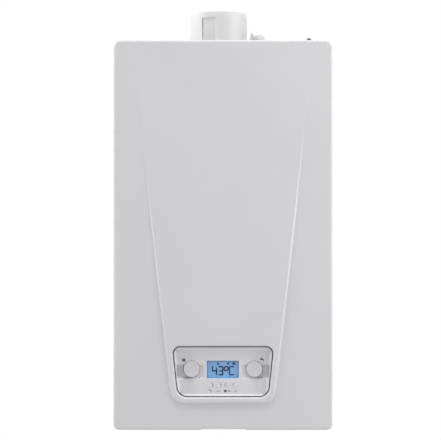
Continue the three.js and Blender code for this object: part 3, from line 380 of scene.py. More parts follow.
def solder_masked_board():
    """Glass-fibre epoxy board with green lacquer over etched copper: glossy, with paler copper fields 12 mm wide."""
    colour = linear("2B6B41")
    material, tree, shader = new_material("solder_masked_epoxy_board", colour, 0.3, {"IOR": 1.5})
    place = add_node(tree, "ShaderNodeTexCoord")
    cells = add_node(tree, "ShaderNodeTexVoronoi", {"Scale": across(12.0), "distance": "CHEBYCHEV"},
                     {"Vector": (place, "Object")})
    ramp = add_node(tree, "ShaderNodeValToRGB", None, {"Fac": (cells, "Distance")})
    ramp.color_ramp.elements[0].color = shade(colour, 0.8)
    ramp.color_ramp.elements[1].color = shade(colour, 1.25)
    tree.links.new(ramp.outputs["Color"], shader.inputs["Base Color"])
    return material


FINISHES = {
    "white_enamel": powder_coated_steel,
    "galvanised_steel": galvanised_sheet_steel,
    # Turned steel in a zinc bath: bright, cool and slightly clouded.
    "zinc_screw": metal("zinc_plated_turned_steel", "B8BABD", 0.3),
    # Injection-moulded polypropylene: a waxy white half-gloss, almost even.
    "flue_white": moulded("moulded_polypropylene_white", (FLUE, "turret"), 0.42, tone=0.015),
    # Extruded polypropylene pipe: a little warmer and duller than the turret.
    "flue_pipe_white": moulded("extruded_polypropylene_white", "E4E4E0", tone=0.02),
    # Moulded polyethylene: soft light grey with a dull sheen.
    "cap_grey": moulded("moulded_polyethylene_grey", (FLUE, "cap"), 0.5, tone=0.02, ior=1.51),
    # Moulded nylon: nearly black, dull, paler where the light grazes it.
    "cap_black": moulded("moulded_nylon_black", "1C1D1F", 0.5, tone=0.1, ior=1.53),
    # Stoved alkyd paint on deep-drawn steel: glossy red with slow waves 3 mm wide.
    "vessel_red": moulded("stoved_red_paint", "A02A22", 0.28, tone=0.05, grain_mm=3.3, ior=1.5),
    # Heat-resistant paint, sprayed: dark grey and dry, with a coarse spray grain.
    "exchanger_black": moulded("sprayed_heat_resistant_paint", "34363A", 0.5, 0.03, 0.12, 2.5, 1.5),
    # Drawn and brushed stainless steel: bright, with marks drawn out along the tube.
    "stainless": metal("brushed_stainless_steel", "C4C4C2", 0.3, 0.05, (1, 1, 8), 25.0),
    # Die-cast aluminium, shot blasted: pale, dry sparkle from small dents.
    "cast_aluminium": metal("shot_blasted_cast_aluminium", "BFC1C2", 0.5, stain_mm=8.3, depth_mm=0.08),
    # Glazed alumina, fired: warm white with a wet gloss.
    "ceramic_white": moulded("glazed_alumina", "ECE8DC", 0.18, 0.005, 0.02, ior=1.6),
    # Glass-filled nylon, moulded: black with grey bloom where the fibres reach the skin.
    "black_plastic": moulded("glass_filled_nylon_black", "232527", 0.5, 0.015, 0.12, ior=1.53),
    # Drawn copper tube, slightly dulled: warm, with brown stains along the draw.
    "copper": metal("drawn_copper_tube", "C98A62", 0.26, 0.1, (1, 1, 0.2), 20.0),
    # Forged and turned brass: yellow, bright on the turned faces, lightly stained.
    "brass": metal("forged_and_turned_brass", "C9A45C", 0.3, 0.07, stain_mm=14.3),
    # Extruded soft PVC: even grey, dull, soft highlights along the bends.
    "grey_hose": moulded("extruded_soft_pvc_grey", "8F9295", 0.6, 0.02, 0.05, ior=1.53),
    # Moulded polypropylene in its natural grey: waxy and slightly cloudy.
    "grey_plastic": moulded("moulded_polypropylene_natural", "CFCFCB"),
    # Painted cast iron: dark grey over the sand mould's grain.
    "cast_grey": moulded("painted_cast_iron", "4A4C4F", 0.55, 0.06, 0.12, 2.9, 1.5),
    # Moulded ABS: a flat signal red and a flat signal blue with a fine satin grain.
    "red_plastic": moulded("moulded_abs_red", "B3332A", 0.42, tone=0.05, ior=1.52),
    "blue_plastic": moulded("moulded_abs_blue", "2B4F8C", 0.42, tone=0.05, ior=1.52),
    # Moulded ABS from a spark-eroded mould: light grey satin that holds no sharp highlight.
    "fascia_grey": moulded("spark_eroded_abs_light_grey", (CONTROLS, "fascia"), 0.46, 0.012, 0.012, ior=1.52),
    # Moulded polycarbonate and ABS blend: dark grey, dull, coarse grain.
    "dark_box": moulded("moulded_polycarbonate_abs_dark", "3A3C3F", 0.55, 0.02, 0.08, ior=1.55),
    "circuit_green": solder_masked_board,
    "lcd_blue": backlit_liquid_crystal,
    "clear_pane": clear_cast_acrylic,
    # Moulded ABS, smoother than the fascia because fingers and a finer mould keep it so.
    "knob_grey": moulded("moulded_abs_knob_grey", (CONTROLS, "knob"), 0.4, tone=0.01, ior=1.52),
    "button_grey": moulded("moulded_abs_button_grey", (CONTROLS, "fascia"), 0.42, tone=0.01, ior=1.52),
    # Painted shadow round the display: a deeper blue strip with a slight gloss, wide at the top and sides and narrow at
    # the foot, where the display's recess would shade the glass.
    "display_painted_shadow": moulded("painted_recess_shadow_blue", "5C93C4", 0.3, 0.002),
    # Pad-printed ink: dark grey and flat, thin at its edges.
    "symbol_ink": moulded("pad_printed_grey_ink", (CONTROLS, "ink"), 0.5, 0.002, 0.05),
    # Liquid-crystal segments switched dark: navy against the lit guide.
    "segment_ink": moulded("dark_liquid_crystal_segment", (CONTROLS, "segment"), 0.4, 0.002, 0.05),
}


# ---- mesh tools
def placed(name, data):
    """A new object in the scene."""
    made = bpy.data.objects.new(name, data)
    bpy.context.scene.collection.objects.link(made)
    return made


def solid(bm, name, material):
    """A new object from a bmesh, in one material."""
    mesh = bpy.data.meshes.new(name)
    bm.to_mesh(mesh)
    bm.free()
    mesh.materials.append(material)
    return placed(name, mesh)


def piece_from(bm, name, body, slot, replaced=(), finish=None, sharp=32.0):
    """Turns a bmesh, drawn in casing millimetres, into a piece with its body, slot, finish and normals."""
    bmesh.ops.remove_doubles(bm, verts=bm.verts, dist=0.001)
    bmesh.ops.recalc_face_normals(bm, faces=bm.faces)
    bm.transform(Matrix.Translation((0, 0, BASE_Z)) @ Matrix.Scale(MM, 4))
    piece = solid(bm, name, material_of(finish or slot))
    piece.data.shade_smooth()
    piece.data.set_sharp_from_angle(angle=radians(sharp))
    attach(piece, body)
    if replaced:
        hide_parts(*replaced)
    return piece


def stand_in(bm, node, made, sharp=38, body="casing"):
    """The piece that stands for one node: named for it and for how it is made, in its slot's finish."""
    return piece_from(bm, f"{node}_{made}", body, SLOT_OF[node], (node,), sharp=sharp)


def weighted(piece):
    """Normals that keep the flat faces flat beside their rounded edges."""
    piece.modifiers.new("weighted_normals", "WEIGHTED_NORMAL").keep_sharp = True
    return piece


def join(bm, ring, other):
    """Faces between two rings of vertices."""
    for i in range(len(ring)):
        j = (i + 1) % len(ring)
        bm.faces.new((ring[i], ring[j], other[j], other[i]))


def skirt(bm, ring, rows):
    """Faces from a ring of vertices through each row of places; returns the last ring."""
    for row in rows:
        made = [bm.verts.new(place) for place in row]
        join(bm, ring, made)
        ring = made
    return ring


def loft(bm, rows):
    """A closed form through rings of places with the same count."""
    first = [bm.verts.new(place) for place in rows[0]]
    last = skirt(bm, first, rows[1:])
    bm.faces.new(first[::-1])
    bm.faces.new(last)


def closed_round(bm, rows):
    """A form whose last ring of places joins its first, such as a pipe with a wall."""
    first = [bm.verts.new(place) for place in rows[0]]
    join(bm, skirt(bm, first, rows[1:]), first)


AXES = {
    "x": lambda u, v, w: (w, u, v),
    "y": lambda u, v, w: (u, w, v),
    "z": lambda u, v, w: (u, v, w),
}


def fillet(points, radius, steps=4, closed=True):
    """Rounds the corners of a line of points; radius is one number or one for each point."""
    count = len(points)
    made = []
    for i in range(count):
        here = Vector(points[i])
        size = radius if isinstance(radius, (int, float)) else radius[i]
        before, after = Vector(points[i - 1]) - here, Vector(points[(i + 1) % count]) - here
        turn = before.angle(after, pi)
        kept = size <= 0 or (not closed and i in (0, count - 1))
        if kept or turn > pi - 0.01 or min(before.length, after.length) < 1e-6:
            made.append(tuple(here))
            continue
        reach = min(size / tan(turn / 2), before.length * 0.49, after.length * 0.49)
        start, end = here + before.normalized() * reach, here + after.normalized() * reach
        for k in range(steps + 1):
            t = k / steps
            bend = start.lerp(here, t).lerp(here.lerp(end, t), t)
            made.append(tuple(bend))
    return made


def lathe(bm, axis, centre, profile, steps, wobble=None):
    """A turned form round an axis, from a closed profile of (radius, place along); steps may be a list of angles."""
    put = AXES[axis]
    rings = []
    for angle in [2 * pi * k / steps for k in range(steps)] if isinstance(steps, int) else steps:
        ring = []
        for radius, along in profile:
            out = radius + (wobble(angle, radius, along) if wobble else 0.0)
            ring.append(bm.verts.new(put(*polar(centre, out, angle), along)))
        rings.append(ring)
    count = len(profile)
    for a, b in zip(rings, rings[1:] + rings[:1]):
        for k in range(count):
            n = (k + 1) % count
            if profile[k][0] < 1e-6 and profile[n][0] < 1e-6:
                continue
            bm.faces.new((a[k], a[n], b[n], b[k]))


def rod(bm, axis, centre, radius, start, end, edge=0.6, steps=48, bore=0.0):
    """A rod or bushing with softened edges."""
    rounding = min(edge, (radius - bore) * 0.45) if bore else [0, edge, edge, 0]
    shape = [(bore, start), (radius, start), (radius, end), (bore, end)]
    lathe(bm, axis, centre, fillet(shape, rounding, 3), steps)


def round_ends(start, end, depth, steps):
    """Insets and places along an axis that round off both ends of a form."""
    way = depth if end > start else -depth
    turns = [pi / 2 * k / steps for k in range(steps + 1)]
    rows = [(depth * (1 - sin(turn)), start + way * (1 - cos(turn))) for turn in turns]
    return rows + [(depth * (1 - cos(turn)), end - way * (1 - sin(turn))) for turn in turns]


def prism(bm, axis, outline, start, end, edge=0.5, steps=3):
    """An outline drawn across an axis, given thickness, with softened ends; the outline runs one way round."""
    put = AXES[axis]
    rows = round_ends(start, end, min(edge, abs(end - start) * 0.45), steps)
    loft(bm, [[put(u, v, along) for u, v in shrunk(outline, inset)] for inset, along in rows])


def shrunk(outline, inset):
    """An outline moved inward by inset along its corner bisectors."""
    if inset <= 1e-9:
        return [tuple(p) for p in outline]
    count = len(outline)
    area = sum(outline[i - 1][0] * outline[i][1] - outline[i][0] * outline[i - 1][1] for i in range(count))
    side = 1 if area > 0 else -1
    made = []
    for i in range(count):
        here, before, after = (Vector(outline[k][:2]) for k in (i, i - 1, (i + 1) % count))
        a, b = (here - before), (after - here)
        a = a.normalized() if a.length > 1e-9 else b.normalized()
        b = b.normalized() if b.length > 1e-9 else a
        normal = Vector((-(a.y + b.y), a.x + b.x)) * side
        grow = normal.length
        if grow < 1e-6:
            made.append(tuple(here))
            continue
        normal /= grow
        cosine = max(Vector((-a.y, a.x)).dot(normal) * side, 0.35)
        made.append(tuple(here + normal * (inset / cosine)))
    return made


def rectangle(u0, u1, v0, v1):
    """The corners of a rectangle, one way round."""
    return [(u0, v0), (u1, v0), (u1, v1), (u0, v1)]


def block(bm, x0, x1, y0, y1, z0, z1, edge, corner, axis="z"):
    """A block with softened edges and rounded corners across its axis."""
    spans = {"x": (x0, x1), "y": (y0, y1), "z": (z0, z1)}
    along = spans.pop(axis)
    u, v = spans.values()
    prism(bm, axis, fillet(rectangle(*u, *v), corner, 4), *along, edge)


def route(corners, bend):
    """Points along a pipe's middle line, with its bends rounded."""
    return [Vector(p) for p in fillet(corners, bend, 10, closed=False)]


def tube(bm, corners, radius, bend=14.0, steps=24, bore=None, swell=None):
    """A bent pipe with open ends and a wall, or a plain one where bore is 0."""
    path = route(corners, bend)
    lengths = [0.0]
    for a, b in zip(path, path[1:]):
        lengths.append(lengths[-1] + (b - a).length)
    side = None
    outer, inner = [], []
    hollow = radius * 0.8 if bore is None else bore
    for i, here in enumerate(path):
        ahead = (path[min(i + 1, len(path) - 1)] - path[max(i - 1, 0)]).normalized()
        if side is None:
            side = ahead.orthogonal().normalized()
        side = (side - ahead * side.dot(ahead)).normalized()
        other = ahead.cross(side)
        size = radius + (swell(lengths[i], lengths[-1]) if swell else 0.0)
        ring = [side * cos(2 * pi * k / steps) + other * sin(2 * pi * k / steps) for k in range(steps)]
        outer.append([here + r * size for r in ring])
        inner.append([here + r * hollow for r in ring])
    if hollow:
        closed_round(bm, outer + inner[::-1])
    else:
        loft(bm, outer)


def nut(bm, axis, centre, across, start, end):
    """A hexagon nut whose corners are turned off at both ends."""
    put = AXES[axis]
    rows = []
    for share, drop in ((0.90, 0.0), (1.0, 0.09), (1.0, 0.91), (0.90, 1.0)):
        ring = []
        for k in range(48):
            angle = 2 * pi * k / 48
            fold = (angle + pi / 6) % (pi / 3) - pi / 6
            radius = min(across / 2 / cos(fold), across / 2 * (1.0 if share < 1 else 1.2))
            ring.append(put(*polar(centre, radius, angle), start + (end - start) * drop))
        rows.append(ring)
    loft(bm, rows)


def spoke(bm, axis, place, reach, half, along, edge, steps):
    """A short bar that points away from a centre; place is where it stands and its angle."""
    u, v, angle = place
    cosine, sine = cos(angle), sin(angle)
    outline = [(u + a * cosine - b * sine, v + a * sine + b * cosine)
               for a, b in ((reach[0], -half), (reach[1], -half), (reach[1], half), (reach[0], half))]
    prism(bm, axis, outline, *along, edge, steps)


def ring_of(centre, radius, count, start=0.0):
    """Places at even angles round a centre, with their angles; start is in degrees."""
    for k in range(count):
        angle = radians(start + 360.0 * k / count)
        yield *polar(centre, radius, angle), angle


def screw_head(bm, axis, centre, radius, start, end, slot_width):
    """A pan head with a cross recess, facing the far end."""
    tall, reach = end - start, radius * 0.62
    lathe(bm, axis, centre, [(0, start), (radius, start), (radius, start + tall * 0.45),
                             (radius * 0.86, start + tall * 0.82), (radius * 0.45, end),
                             (radius * 0.40, end - tall * 0.35), (0, end - tall * 0.45)], 28)
    for turn in (0, pi / 2):
        spoke(bm, axis, (*centre, turn), (-reach, reach), slot_width / 2, (end - tall * 0.5, end - tall * 0.3), 0.05, 1)


# ---- sheet with openings
def smooth_outline(corners, offset=0.0, steps=10, spacing=12.0):
    """Closed outline (x, z) with round corners, moved out by offset; every offset gives as many points."""
    count = len(corners)
    spans = []
    for i in range(count):
        here, before, after = (Vector(corners[k][:2]) for k in (i, i - 1, (i + 1) % count))
        a, b = (here - before).normalized(), (after - here).normalized()
        out_a, out_b = Vector((a.y, -a.x)), Vector((b.y, -b.x))
        bisector = (out_a + out_b).normalized()
        radius = corners[i][2]
        lift = 1 / max(bisector.dot(out_a), 0.2)
        centre = here - bisector * radius * lift
        start, end = atan2(out_a.y, out_a.x), atan2(out_b.y, out_b.x)
        turn = (end - start + pi) % (2 * pi) - pi
        arc = []
        for k in range(steps + 1 if radius > 0 else 1):
            angle = start + turn * (k / steps if radius > 0 else 0.5)
            reach = (radius + offset) * (1 if radius > 0 else lift)
            arc.append(centre + Vector((cos(angle), sin(angle))) * reach)
        spans.append(arc)
    made = []
    for i, arc in enumerate(spans):
        following = (i + 1) % count
        flat = (Vector(corners[following][:2]) - Vector(corners[i][:2])).length
        cuts = max(int(flat / spacing), 1)
        made.extend(arc)
        made.extend(arc[-1].lerp(spans[following][0], k / cuts) for k in range(1, cuts))
    return made


def inside(point, loop):
    """Whether a point lies in a closed outline."""
    x, y = point
    found = False
    ax, ay = loop[-1]
    for bx, by in loop:
        if (ay > y) != (by > y) and x < (bx - ax) * (y - ay) / (by - ay) + ax:
            found = not found
        ax, ay = bx, by
    return found


def field_sheet(bm, outer, holes, lines, grid, height):
    """A sheet across x and z with openings, lifted along y by height(x, z); returns the rings of its edges.

    Points of the lines and of the grid shape the faces; the rings are the outer edge and one per opening.
    """
    coords, edges, rings = [], [], []
    for loop in [outer, *holes]:
        base = len(coords)
        coords.extend(Vector(p) for p in loop)
        edges.extend((base + i, base + (i + 1) % len(loop)) for i in range(len(loop)))
        rings.append(range(base, base + len(loop)))
    for line in lines:
        base = len(coords)
        coords.extend(Vector(p) for p in line)
        edges.extend((base + i, base + i + 1) for i in range(len(line) - 1))
    coords.extend(Vector(p) for p in grid)
    verts, _, faces, origins, _, _ = delaunay_2d_cdt(coords, edges, [], 0, 1e-5)
    whole = [tuple(p) for p in outer]
    gaps = [[tuple(p) for p in hole] for hole in holes]
    boxes = [(min(p[0] for p in g), max(p[0] for p in g), min(p[1] for p in g), max(p[1] for p in g)) for g in gaps]
    made = [bm.verts.new((v.x, height(v.x, v.y), v.y)) for v in verts]
    for face in faces:
        middle = sum((verts[i] for i in face), Vector((0, 0))) / 3
        if not inside(middle, whole):
            continue
        if any(b[0] < middle.x < b[1] and b[2] < middle.y < b[3] and inside(middle, g) for g, b in zip(gaps, boxes)):
            continue
        bm.faces.new([made[i] for i in face])
    where = {}
    for index, sources in enumerate(origins):
        for source in sources:
            where[source] = made[index]
    for vert in [v for v in made if not v.link_faces]:
        bm.verts.remove(vert)
    bmesh.ops.join_triangles(bm, faces=bm.faces, angle_face_threshold=0.2, angle_shape_threshold=0.9)
    return [[where[i] for i in ring] for ring in rings]


def lattice(x0, x1, z0, z1, step, keep):
    """Points of a square lattice that pass a test."""
    columns, rows = int((x1 - x0) / step), int((z1 - z0) / step)
    for i in range(columns + 1):
        for k in range(rows + 1):
            x, z = x0 + (x1 - x0) * i / columns, z0 + (z1 - z0) * k / rows
            if keep(x, z):
                yield (x, z)


# ---- shape of the front
def tongue_half(z):
    """Half width of the raised tongue at a height."""
    return 93 + 0.122 * (z - 72) - 0.00002 * (z - 72) ** 2 + 7.7e-6 * max(z - 540, 0) ** 3


def tongue_depth(x, z):
    """Distance of a point inside the tongue's edge, negative outside."""
    aside = (tongue_half(z) - abs(x)) * 0.992
    above = z - TONGUE_BOTTOM
    if aside < TONGUE_CORNER and above < TONGUE_CORNER:
        return TONGUE_CORNER - hypot(TONGUE_CORNER - aside, TONGUE_CORNER - above)
    return min(aside, above)


def plateau_rise(z):
    """How far the tongue stands proud at a height: a long wedge that dies out at the top."""
    share = (TONGUE_TOP - z) / (TONGUE_TOP - OPEN_HIGH)
    full = in_mm(bpy.context.scene.boiler_casing.tongue_rise)
    if share <= 0:
        return 0.0
    return full * min(share, 1.0) if not 0.9 < share < 1.1 else full * (share - (share - 0.9) ** 2 / 0.4)


def front_y(x, z):
    """Place of the front sheet's outer face."""
    width = in_mm(bpy.context.scene.boiler_casing.crease_width)
    slope = smooth((tongue_depth(x, z) + width / 2) / width)
    return FACE_Y - plateau_rise(z) * slope


def tongue_line(offset):
    """Half of a line along the tongue's edge, from the bottom middle to the top on the right."""
    points = [(k * 6.0, TONGUE_BOTTOM + offset) for k in range(12)]
    corner_x, corner_z = 70.6, TONGUE_BOTTOM + TONGUE_CORNER
    for k in range(13):
        angle = -pi / 2 + (pi / 2 + 0.12) * k / 12
        reach = TONGUE_CORNER - offset
        points.append((corner_x + reach * cos(angle) / 0.992, corner_z + reach * sin(angle)))
    z = corner_z + 8
    while z < TONGUE_TOP:
        points.append((tongue_half(z) - offset / 0.992, z))
        z += 9.0
    return points


def casing_outline(offset):
    """Outer edge of the casing seen from the front, with the grip notch's ends marked in the bottom edge."""
    half, top = CASE_HALF_W, CASE_H
    corners = [(-half, 0, CORNER_BOTTOM), (-41, 0, 0), (-39, 0, 0), (39, 0, 0), (41, 0, 0), (half, 0, CORNER_BOTTOM),
               (half, top, CORNER_TOP), (-half, top, CORNER_TOP)]
    return smooth_outline(corners, offset, 10, 14.0)


def aperture_outline(offset, spacing=5.0):
    """Edge of the control opening, or of what lies inside it."""
    corners = [(-OPEN_LOW_HALF, OPEN_LOW, OPEN_LOW_R), (OPEN_LOW_HALF, OPEN_LOW, OPEN_LOW_R),
               (OPEN_HIGH_HALF, OPEN_HIGH, OPEN_HIGH_R), (-OPEN_HIGH_HALF, OPEN_HIGH, OPEN_HIGH_R)]
    return smooth_outline(corners, offset, 12, spacing)


def laid_at(outline, y):
    """An outline laid flat at one depth."""
    return [(p[0], y, p[1]) for p in outline]


def round_over(radius, steps):
    """Steps round a quarter turn as (outward share, depth), ending square to the start."""
    for k in range(1, steps + 1):
        turn = pi / 2 * k / steps
        yield radius * sin(turn), radius * (1 - cos(turn))


class BOILER_OT_front_cover(bpy.types.Operator):
    """Front cover: deep-drawn sheet with the raised tongue, its crease, the rolled lip and the collar"""

    bl_idname = "boiler.front_cover"
    bl_label = "Front cover"

    def execute(self, context):
        settings = context.scene.boiler_casing
        edge, lip, crease = (in_mm(s) for s in (settings.edge_radius, settings.lip_radius, settings.crease_width))
        bm = bmesh.new()
        lines = []
        for k in range(-5, 6):
            right = tongue_line(crease * k / 10)
            lines.append([(-x, z) for x, z in reversed(right[1:])] + right)
        near = aperture_outline(lip)
        wide = [tuple(p) for p in aperture_outline(9.0)]

        def free(x, z):
            return abs(tongue_depth(x, z)) > 9 and not inside((x, z), wide)
        grid = list(lattice(-180, 180, 14, 686, 15.0, free))
        rings = field_sheet(bm, casing_outline(-edge), [near], lines, grid, front_y)
        rows = [laid_at(casing_outline(out - edge), FACE_Y + deep) for out, deep in round_over(edge, 7)]
        rows += [laid_at(casing_outline(0.0), y) for y in (-268.0, -254.0, COVER_REAR_Y)]
        skirt(bm, rings[0], rows)
        rows = [[(p[0], front_y(*q) + deep, p[1]) for p, q in zip(aperture_outline(lip - out), near)]
                for out, deep in round_over(lip, 7)]
        skirt(bm, rings[1], [*rows, laid_at(aperture_outline(0.0), COLLAR_REAR_Y)])
        for vert in bm.verts:  # the grip notch pressed up into the bottom edge
            x, z = abs(vert.co.x), vert.co.z
            if z < 12 and x < 41:
                vert.co.z += 1.3 * (1 - z / 12) * smooth((41 - x) / 2)
        thicken(bm, SHEET)
        weighted(stand_in(bm, "front_cover", "skin", 50, "front_cover"))
        return {"FINISHED"}


def thicken(bm, wall):
    """Gives an open skin, whose faces look outward, a second face inside it and closed rims."""
    bmesh.ops.recalc_face_normals(bm, faces=bm.faces)
    front = min(bm.faces, key=lambda f: f.calc_center_median().y)
    if front.normal.y > 0:
        bmesh.ops.reverse_faces(bm, faces=bm.faces)
    bm.normal_update()
    bm.verts.index_update()
    shift = {}
    for vert in bm.verts:
        share = max(min(vert.normal.dot(face.normal) for face in vert.link_faces), 0.6)
        shift[vert] = vert.co - vert.normal * (wall / (share if share < 0.999 else 1.0))
    borders = [(e.verts[0], e.verts[1], e.link_faces[0]) for e in bm.edges if len(e.link_faces) == 1]
    faces = [list(f.verts) for f in bm.faces]
    inner = {vert: bm.verts.new(place) for vert, place in shift.items()}
    for verts in faces:
        bm.faces.new([inner[v] for v in reversed(verts)])
    for a, b, face in borders:
        order = list(face.verts)
        if order[(order.index(a) + 1) % len(order)] == b:
            a, b = b, a
        bm.faces.new((a, b, inner[b], inner[a]))


class BOILER_OT_cover_screws(bpy.types.Operator):
    """Screws that hold the front cover at its bottom edge"""

    bl_idname = "boiler.cover_screws"
    bl_label = "Cover screws"

    def execute(self, context):
        for node in ("cover_screw_left", "cover_screw_right"):
            x0, x1, y0, y1, low, high = millimetre_box(node)
            centre, radius = ((x0 + x1) / 2, (y0 + y1) / 2), (x1 - x0) / 2
            bm = bmesh.new()
            screw_head(bm, "z", centre, radius, min(0.2, high), low, 1.1)
            rod(bm, "z", centre, min(2.0, radius * 0.55), 0.0, high, 0.4, 24)
            stand_in(bm, node, "turned", 32, frame["nodes"][node]["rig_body"])
        return {"FINISHED"}


SHEET_NODES = ("side_panel_left", "side_panel_right", "top_plate", "bottom_plate", "back_frame", "wall_bracket")


class BOILER_OT_sheet_metal(bpy.types.Operator):
    """Side, top, bottom and back sheets: their edges broken and their finish laid on"""

    bl_idname = "boiler.sheet_metal"
    bl_label = "Sheet metal"

    def execute(self, context):
        for name in SHEET_NODES:
            node = frame["nodes"][name]
            node.data.materials.clear()
            node.data.materials.append(material_of(SLOT_OF[name]))
            for polygon in node.data.polygons:
                polygon.use_smooth = True
            bevel = node.modifiers.new("broken_edges", "BEVEL")
            bevel.width, bevel.segments = 0.25 * MM, 2
            bevel.limit_method, bevel.angle_limit = "ANGLE", radians(32.0)
            bevel.harden_normals, bevel.use_clamp_overlap = False, True
            weighted(node)
        return {"FINISHED"}


# ---- control panel
def edge_distances(x, z):
    """Distances from a point in the control opening to its two slanted sides, its top and its bottom."""
    tall = OPEN_HIGH - OPEN_LOW
    lean = (OPEN_HIGH_HALF - OPEN_LOW_HALF) / tall
    half = OPEN_LOW_HALF + lean * (z - OPEN_LOW) - FASCIA_GAP
    cosine = 1 / hypot(1, lean)
    return (half - x) * cosine, (half + x) * cosine, OPEN_HIGH - FASCIA_GAP - z, z - OPEN_LOW - FASCIA_GAP


def fascia_y(x, z):
    """Place of the fascia's face: a soft dish with finger hollows at both sides of each knob."""
    settings = bpy.context.scene.boiler_controls
    right, left, top, bottom = edge_distances(x, z)
    deep = FLOOR_Y - FASCIA_RIM_Y
    sides = sin(pi / 2 * min(max(min(right, left), 0) / in_mm(settings.side_slope), 1.0))
    crown = sin(pi / 2 * min(max(top, 0) / in_mm(settings.top_slope), 1.0))
    floor = 1 - (1 - min(max(bottom, 0) / BOTTOM_SLOPE, 1.0)) ** 3
    share = sides * crown * floor
    y = FASCIA_RIM_Y + deep * share + 1.6 * share * smooth((abs(x) - 47) / 17)
    from_knob = max(abs(abs(x) - KNOB_X) - in_mm(settings.knob_radius), 0)
    level = smooth((13.2 - abs(z - CONTROL_Z + 4.6)) / 3.6)
    if abs(x) > KNOB_X:
        return y + 5.4 * share * level * smooth((14.5 - from_knob) / 4.6)
    return y + 2.4 * level * smooth(1 - from_knob / 12)


def circle(x, z, radius, count):
    """Points round a circle."""
    return [polar((x, z), radius, 2 * pi * k / count) for k in range(count)]


def display_outline(grow, corner=1.2):
    """Outline of the display's frame."""
    return smooth_outline([(*place, corner) for place in rectangle(*DISPLAY)], grow, 5, 4.0)


class BOILER_OT_fascia(bpy.types.Operator):
    """Fascia: one moulded dish with the display's frame, the knob wells and the button holes"""

    bl_idname = "boiler.fascia"
    bl_label = "Control fascia"

    def execute(self, context):
        knob_radius = in_mm(context.scene.boiler_controls.knob_radius)
        bm = bmesh.new()
        rim, round_hole, rear = 0.9, 0.35, -264.0
        outer = aperture_outline(-FASCIA_GAP - rim, 3.0)
        wells = [(side * KNOB_X, CONTROL_Z, knob_radius + KNOB_GAP, 64, 8.0) for side in (-1, 1)]
        wells += [(x, BUTTON_Z, BUTTON_HOLE_R, 36, 4.0) for x in BUTTON_XS]
        holes = [display_outline(0.8), *(circle(*well[:4]) for well in wells)]
        slopes = [[tuple(p) for p in aperture_outline(-FASCIA_GAP - d, 3.0)] for d in (2.4, 4.4, 6.8, 9.6)]
        lines = [[*ring, ring[0]] for ring in slopes]

        def free(x, z):
            if min(edge_distances(x, z)) < 10.6 or (abs(x) < 31 and abs(z - CONTROL_Z) < 17):
                return False
            if any(hypot(x - s * KNOB_X, z - CONTROL_Z) < knob_radius + 1.8 for s in (-1, 1)):
                return False
            return all(hypot(x - b, z - BUTTON_Z) > 6.2 for b in BUTTON_XS)
        grid = list(lattice(-78, 78, 64, 148, 1.9, free))
        rings = field_sheet(bm, outer, holes, lines, grid, fascia_y)
        rows = [[(p[0], fascia_y(*q) + deep, p[1])
                 for p, q in zip(aperture_outline(-FASCIA_GAP - rim + out, 3.0), outer)]
                for out, deep in round_over(rim, 5)]
        rows += [laid_at(aperture_outline(-FASCIA_GAP, 3.0), y) for y in (FLOOR_Y + 1.4, rear)]
        skirt(bm, rings[0], rows)
        for ring, (x, z, radius, _, depth) in zip(rings[2:], wells):
            def drawn_in(out, place_y):
                share = (radius - out) / radius
                return [(x + (v.co.x - x) * share, place_y(v), z + (v.co.z - z) * share) for v in ring]
            rows = [drawn_in(out, lambda v: v.co.y + deep) for out, deep in round_over(round_hole, 3)]
            skirt(bm, ring, [*rows, drawn_in(round_hole, lambda v: FLOOR_Y + depth)])
        skirt(bm, rings[1], [laid_at(display_outline(0.3), FLOOR_Y + deep) for deep in (0.5, 2.5)])
        thicken(bm, 1.4)
        weighted(stand_in(bm, "control_fascia", "dish", 42, "control_panel"))
        return {"FINISHED"}


class BOILER_OT_display(bpy.types.Operator):
    """Display: lit glass with a painted shadow strip round it, clear pane, and the segments and signs behind it"""

    bl_idname = "boiler.display"
    bl_label = "Display"

    def execute(self, context):
        bm = bmesh.new()
        block(bm, *millimetre_box("lcd_display"), 0.3, 1.0, "y")
        stand_in(bm, "lcd_display", "glass", 32, "control_panel")
        front, back = millimetre_box("lcd_window")[2:4]
        bm = bmesh.new()
        block(bm, *DISPLAY[:2], front, back, *DISPLAY[2:], 0.25, 1.0, "y")
        stand_in(bm, "lcd_window", "pane", 32, "control_panel")
        # painted shadow: a deeper blue strip at the display's top and sides, where its recess would shade it
        bm = bmesh.new()
        shadow_strip(bm, 1.5, front - 0.05, back)
        piece_from(bm, "display_shadow_border", "control_panel", "lcd_blue", finish="display_painted_shadow")
        bm = bmesh.new()
        plane = back + 0.1
        for stroke in display_strokes():
            flat_stroke(bm, [(x + 0.7, z) for x, z in stroke], 1.3, plane, plane + 0.25)
        for outline in display_signs():
            prism(bm, "y", outline, plane, plane + 0.25, 0.0, 1)
        piece_from(bm, "display_segments", "control_panel", "lcd_blue", finish="segment_ink")
        return {"FINISHED"}


def shadow_strip(bm, width, front, back):
    """A flat rectangular ring round the display, narrow at its foot: a painted shadow, a darker blue strip where the
    recess would shade the display.
    """
    x0, x1, z0, z1 = DISPLAY
    closed_round(bm, [laid_at(rectangle(x0 + inset, x1 - inset, z0 + inset * 0.2, z1 - inset), y)
                      for inset, y in ((-0.2, back), (-0.2, front), (width, front), (width, back))])


def display_strokes():
    """Middle lines of the display's strokes in casing x and z: 4, 3, degree sign and C."""
    tall, low = 14.6, 98.8
    high, mid = low + tall, low + tall * 0.48
    strokes = [
        [(-19.7, high), (-19.7, mid + 0.6)], [(-19.5, mid), (-11.9, mid)], [(-12.4, high - 2.0), (-12.4, low)],
        [(-8.3, high), (-1.9, high)], [(-1.3, high - 0.7), (-1.3, mid + 0.7)], [(-7.3, mid), (-1.9, mid)],
        [(-1.3, mid - 0.7), (-1.3, low + 0.7)], [(-8.3, low), (-1.9, low)],
        [(11.4, high), (17.9, high)], [(10.9, high - 0.8), (10.9, mid + 0.5)],
        [(10.9, mid - 0.5), (10.9, low + 0.8)], [(11.4, low), (17.9, low)],
    ]
    return [*strokes, [(5.0 + 3.6 * cos(pi * k / 8), high - 3.5 + 3.7 * sin(pi * k / 8)) for k in range(17)]]


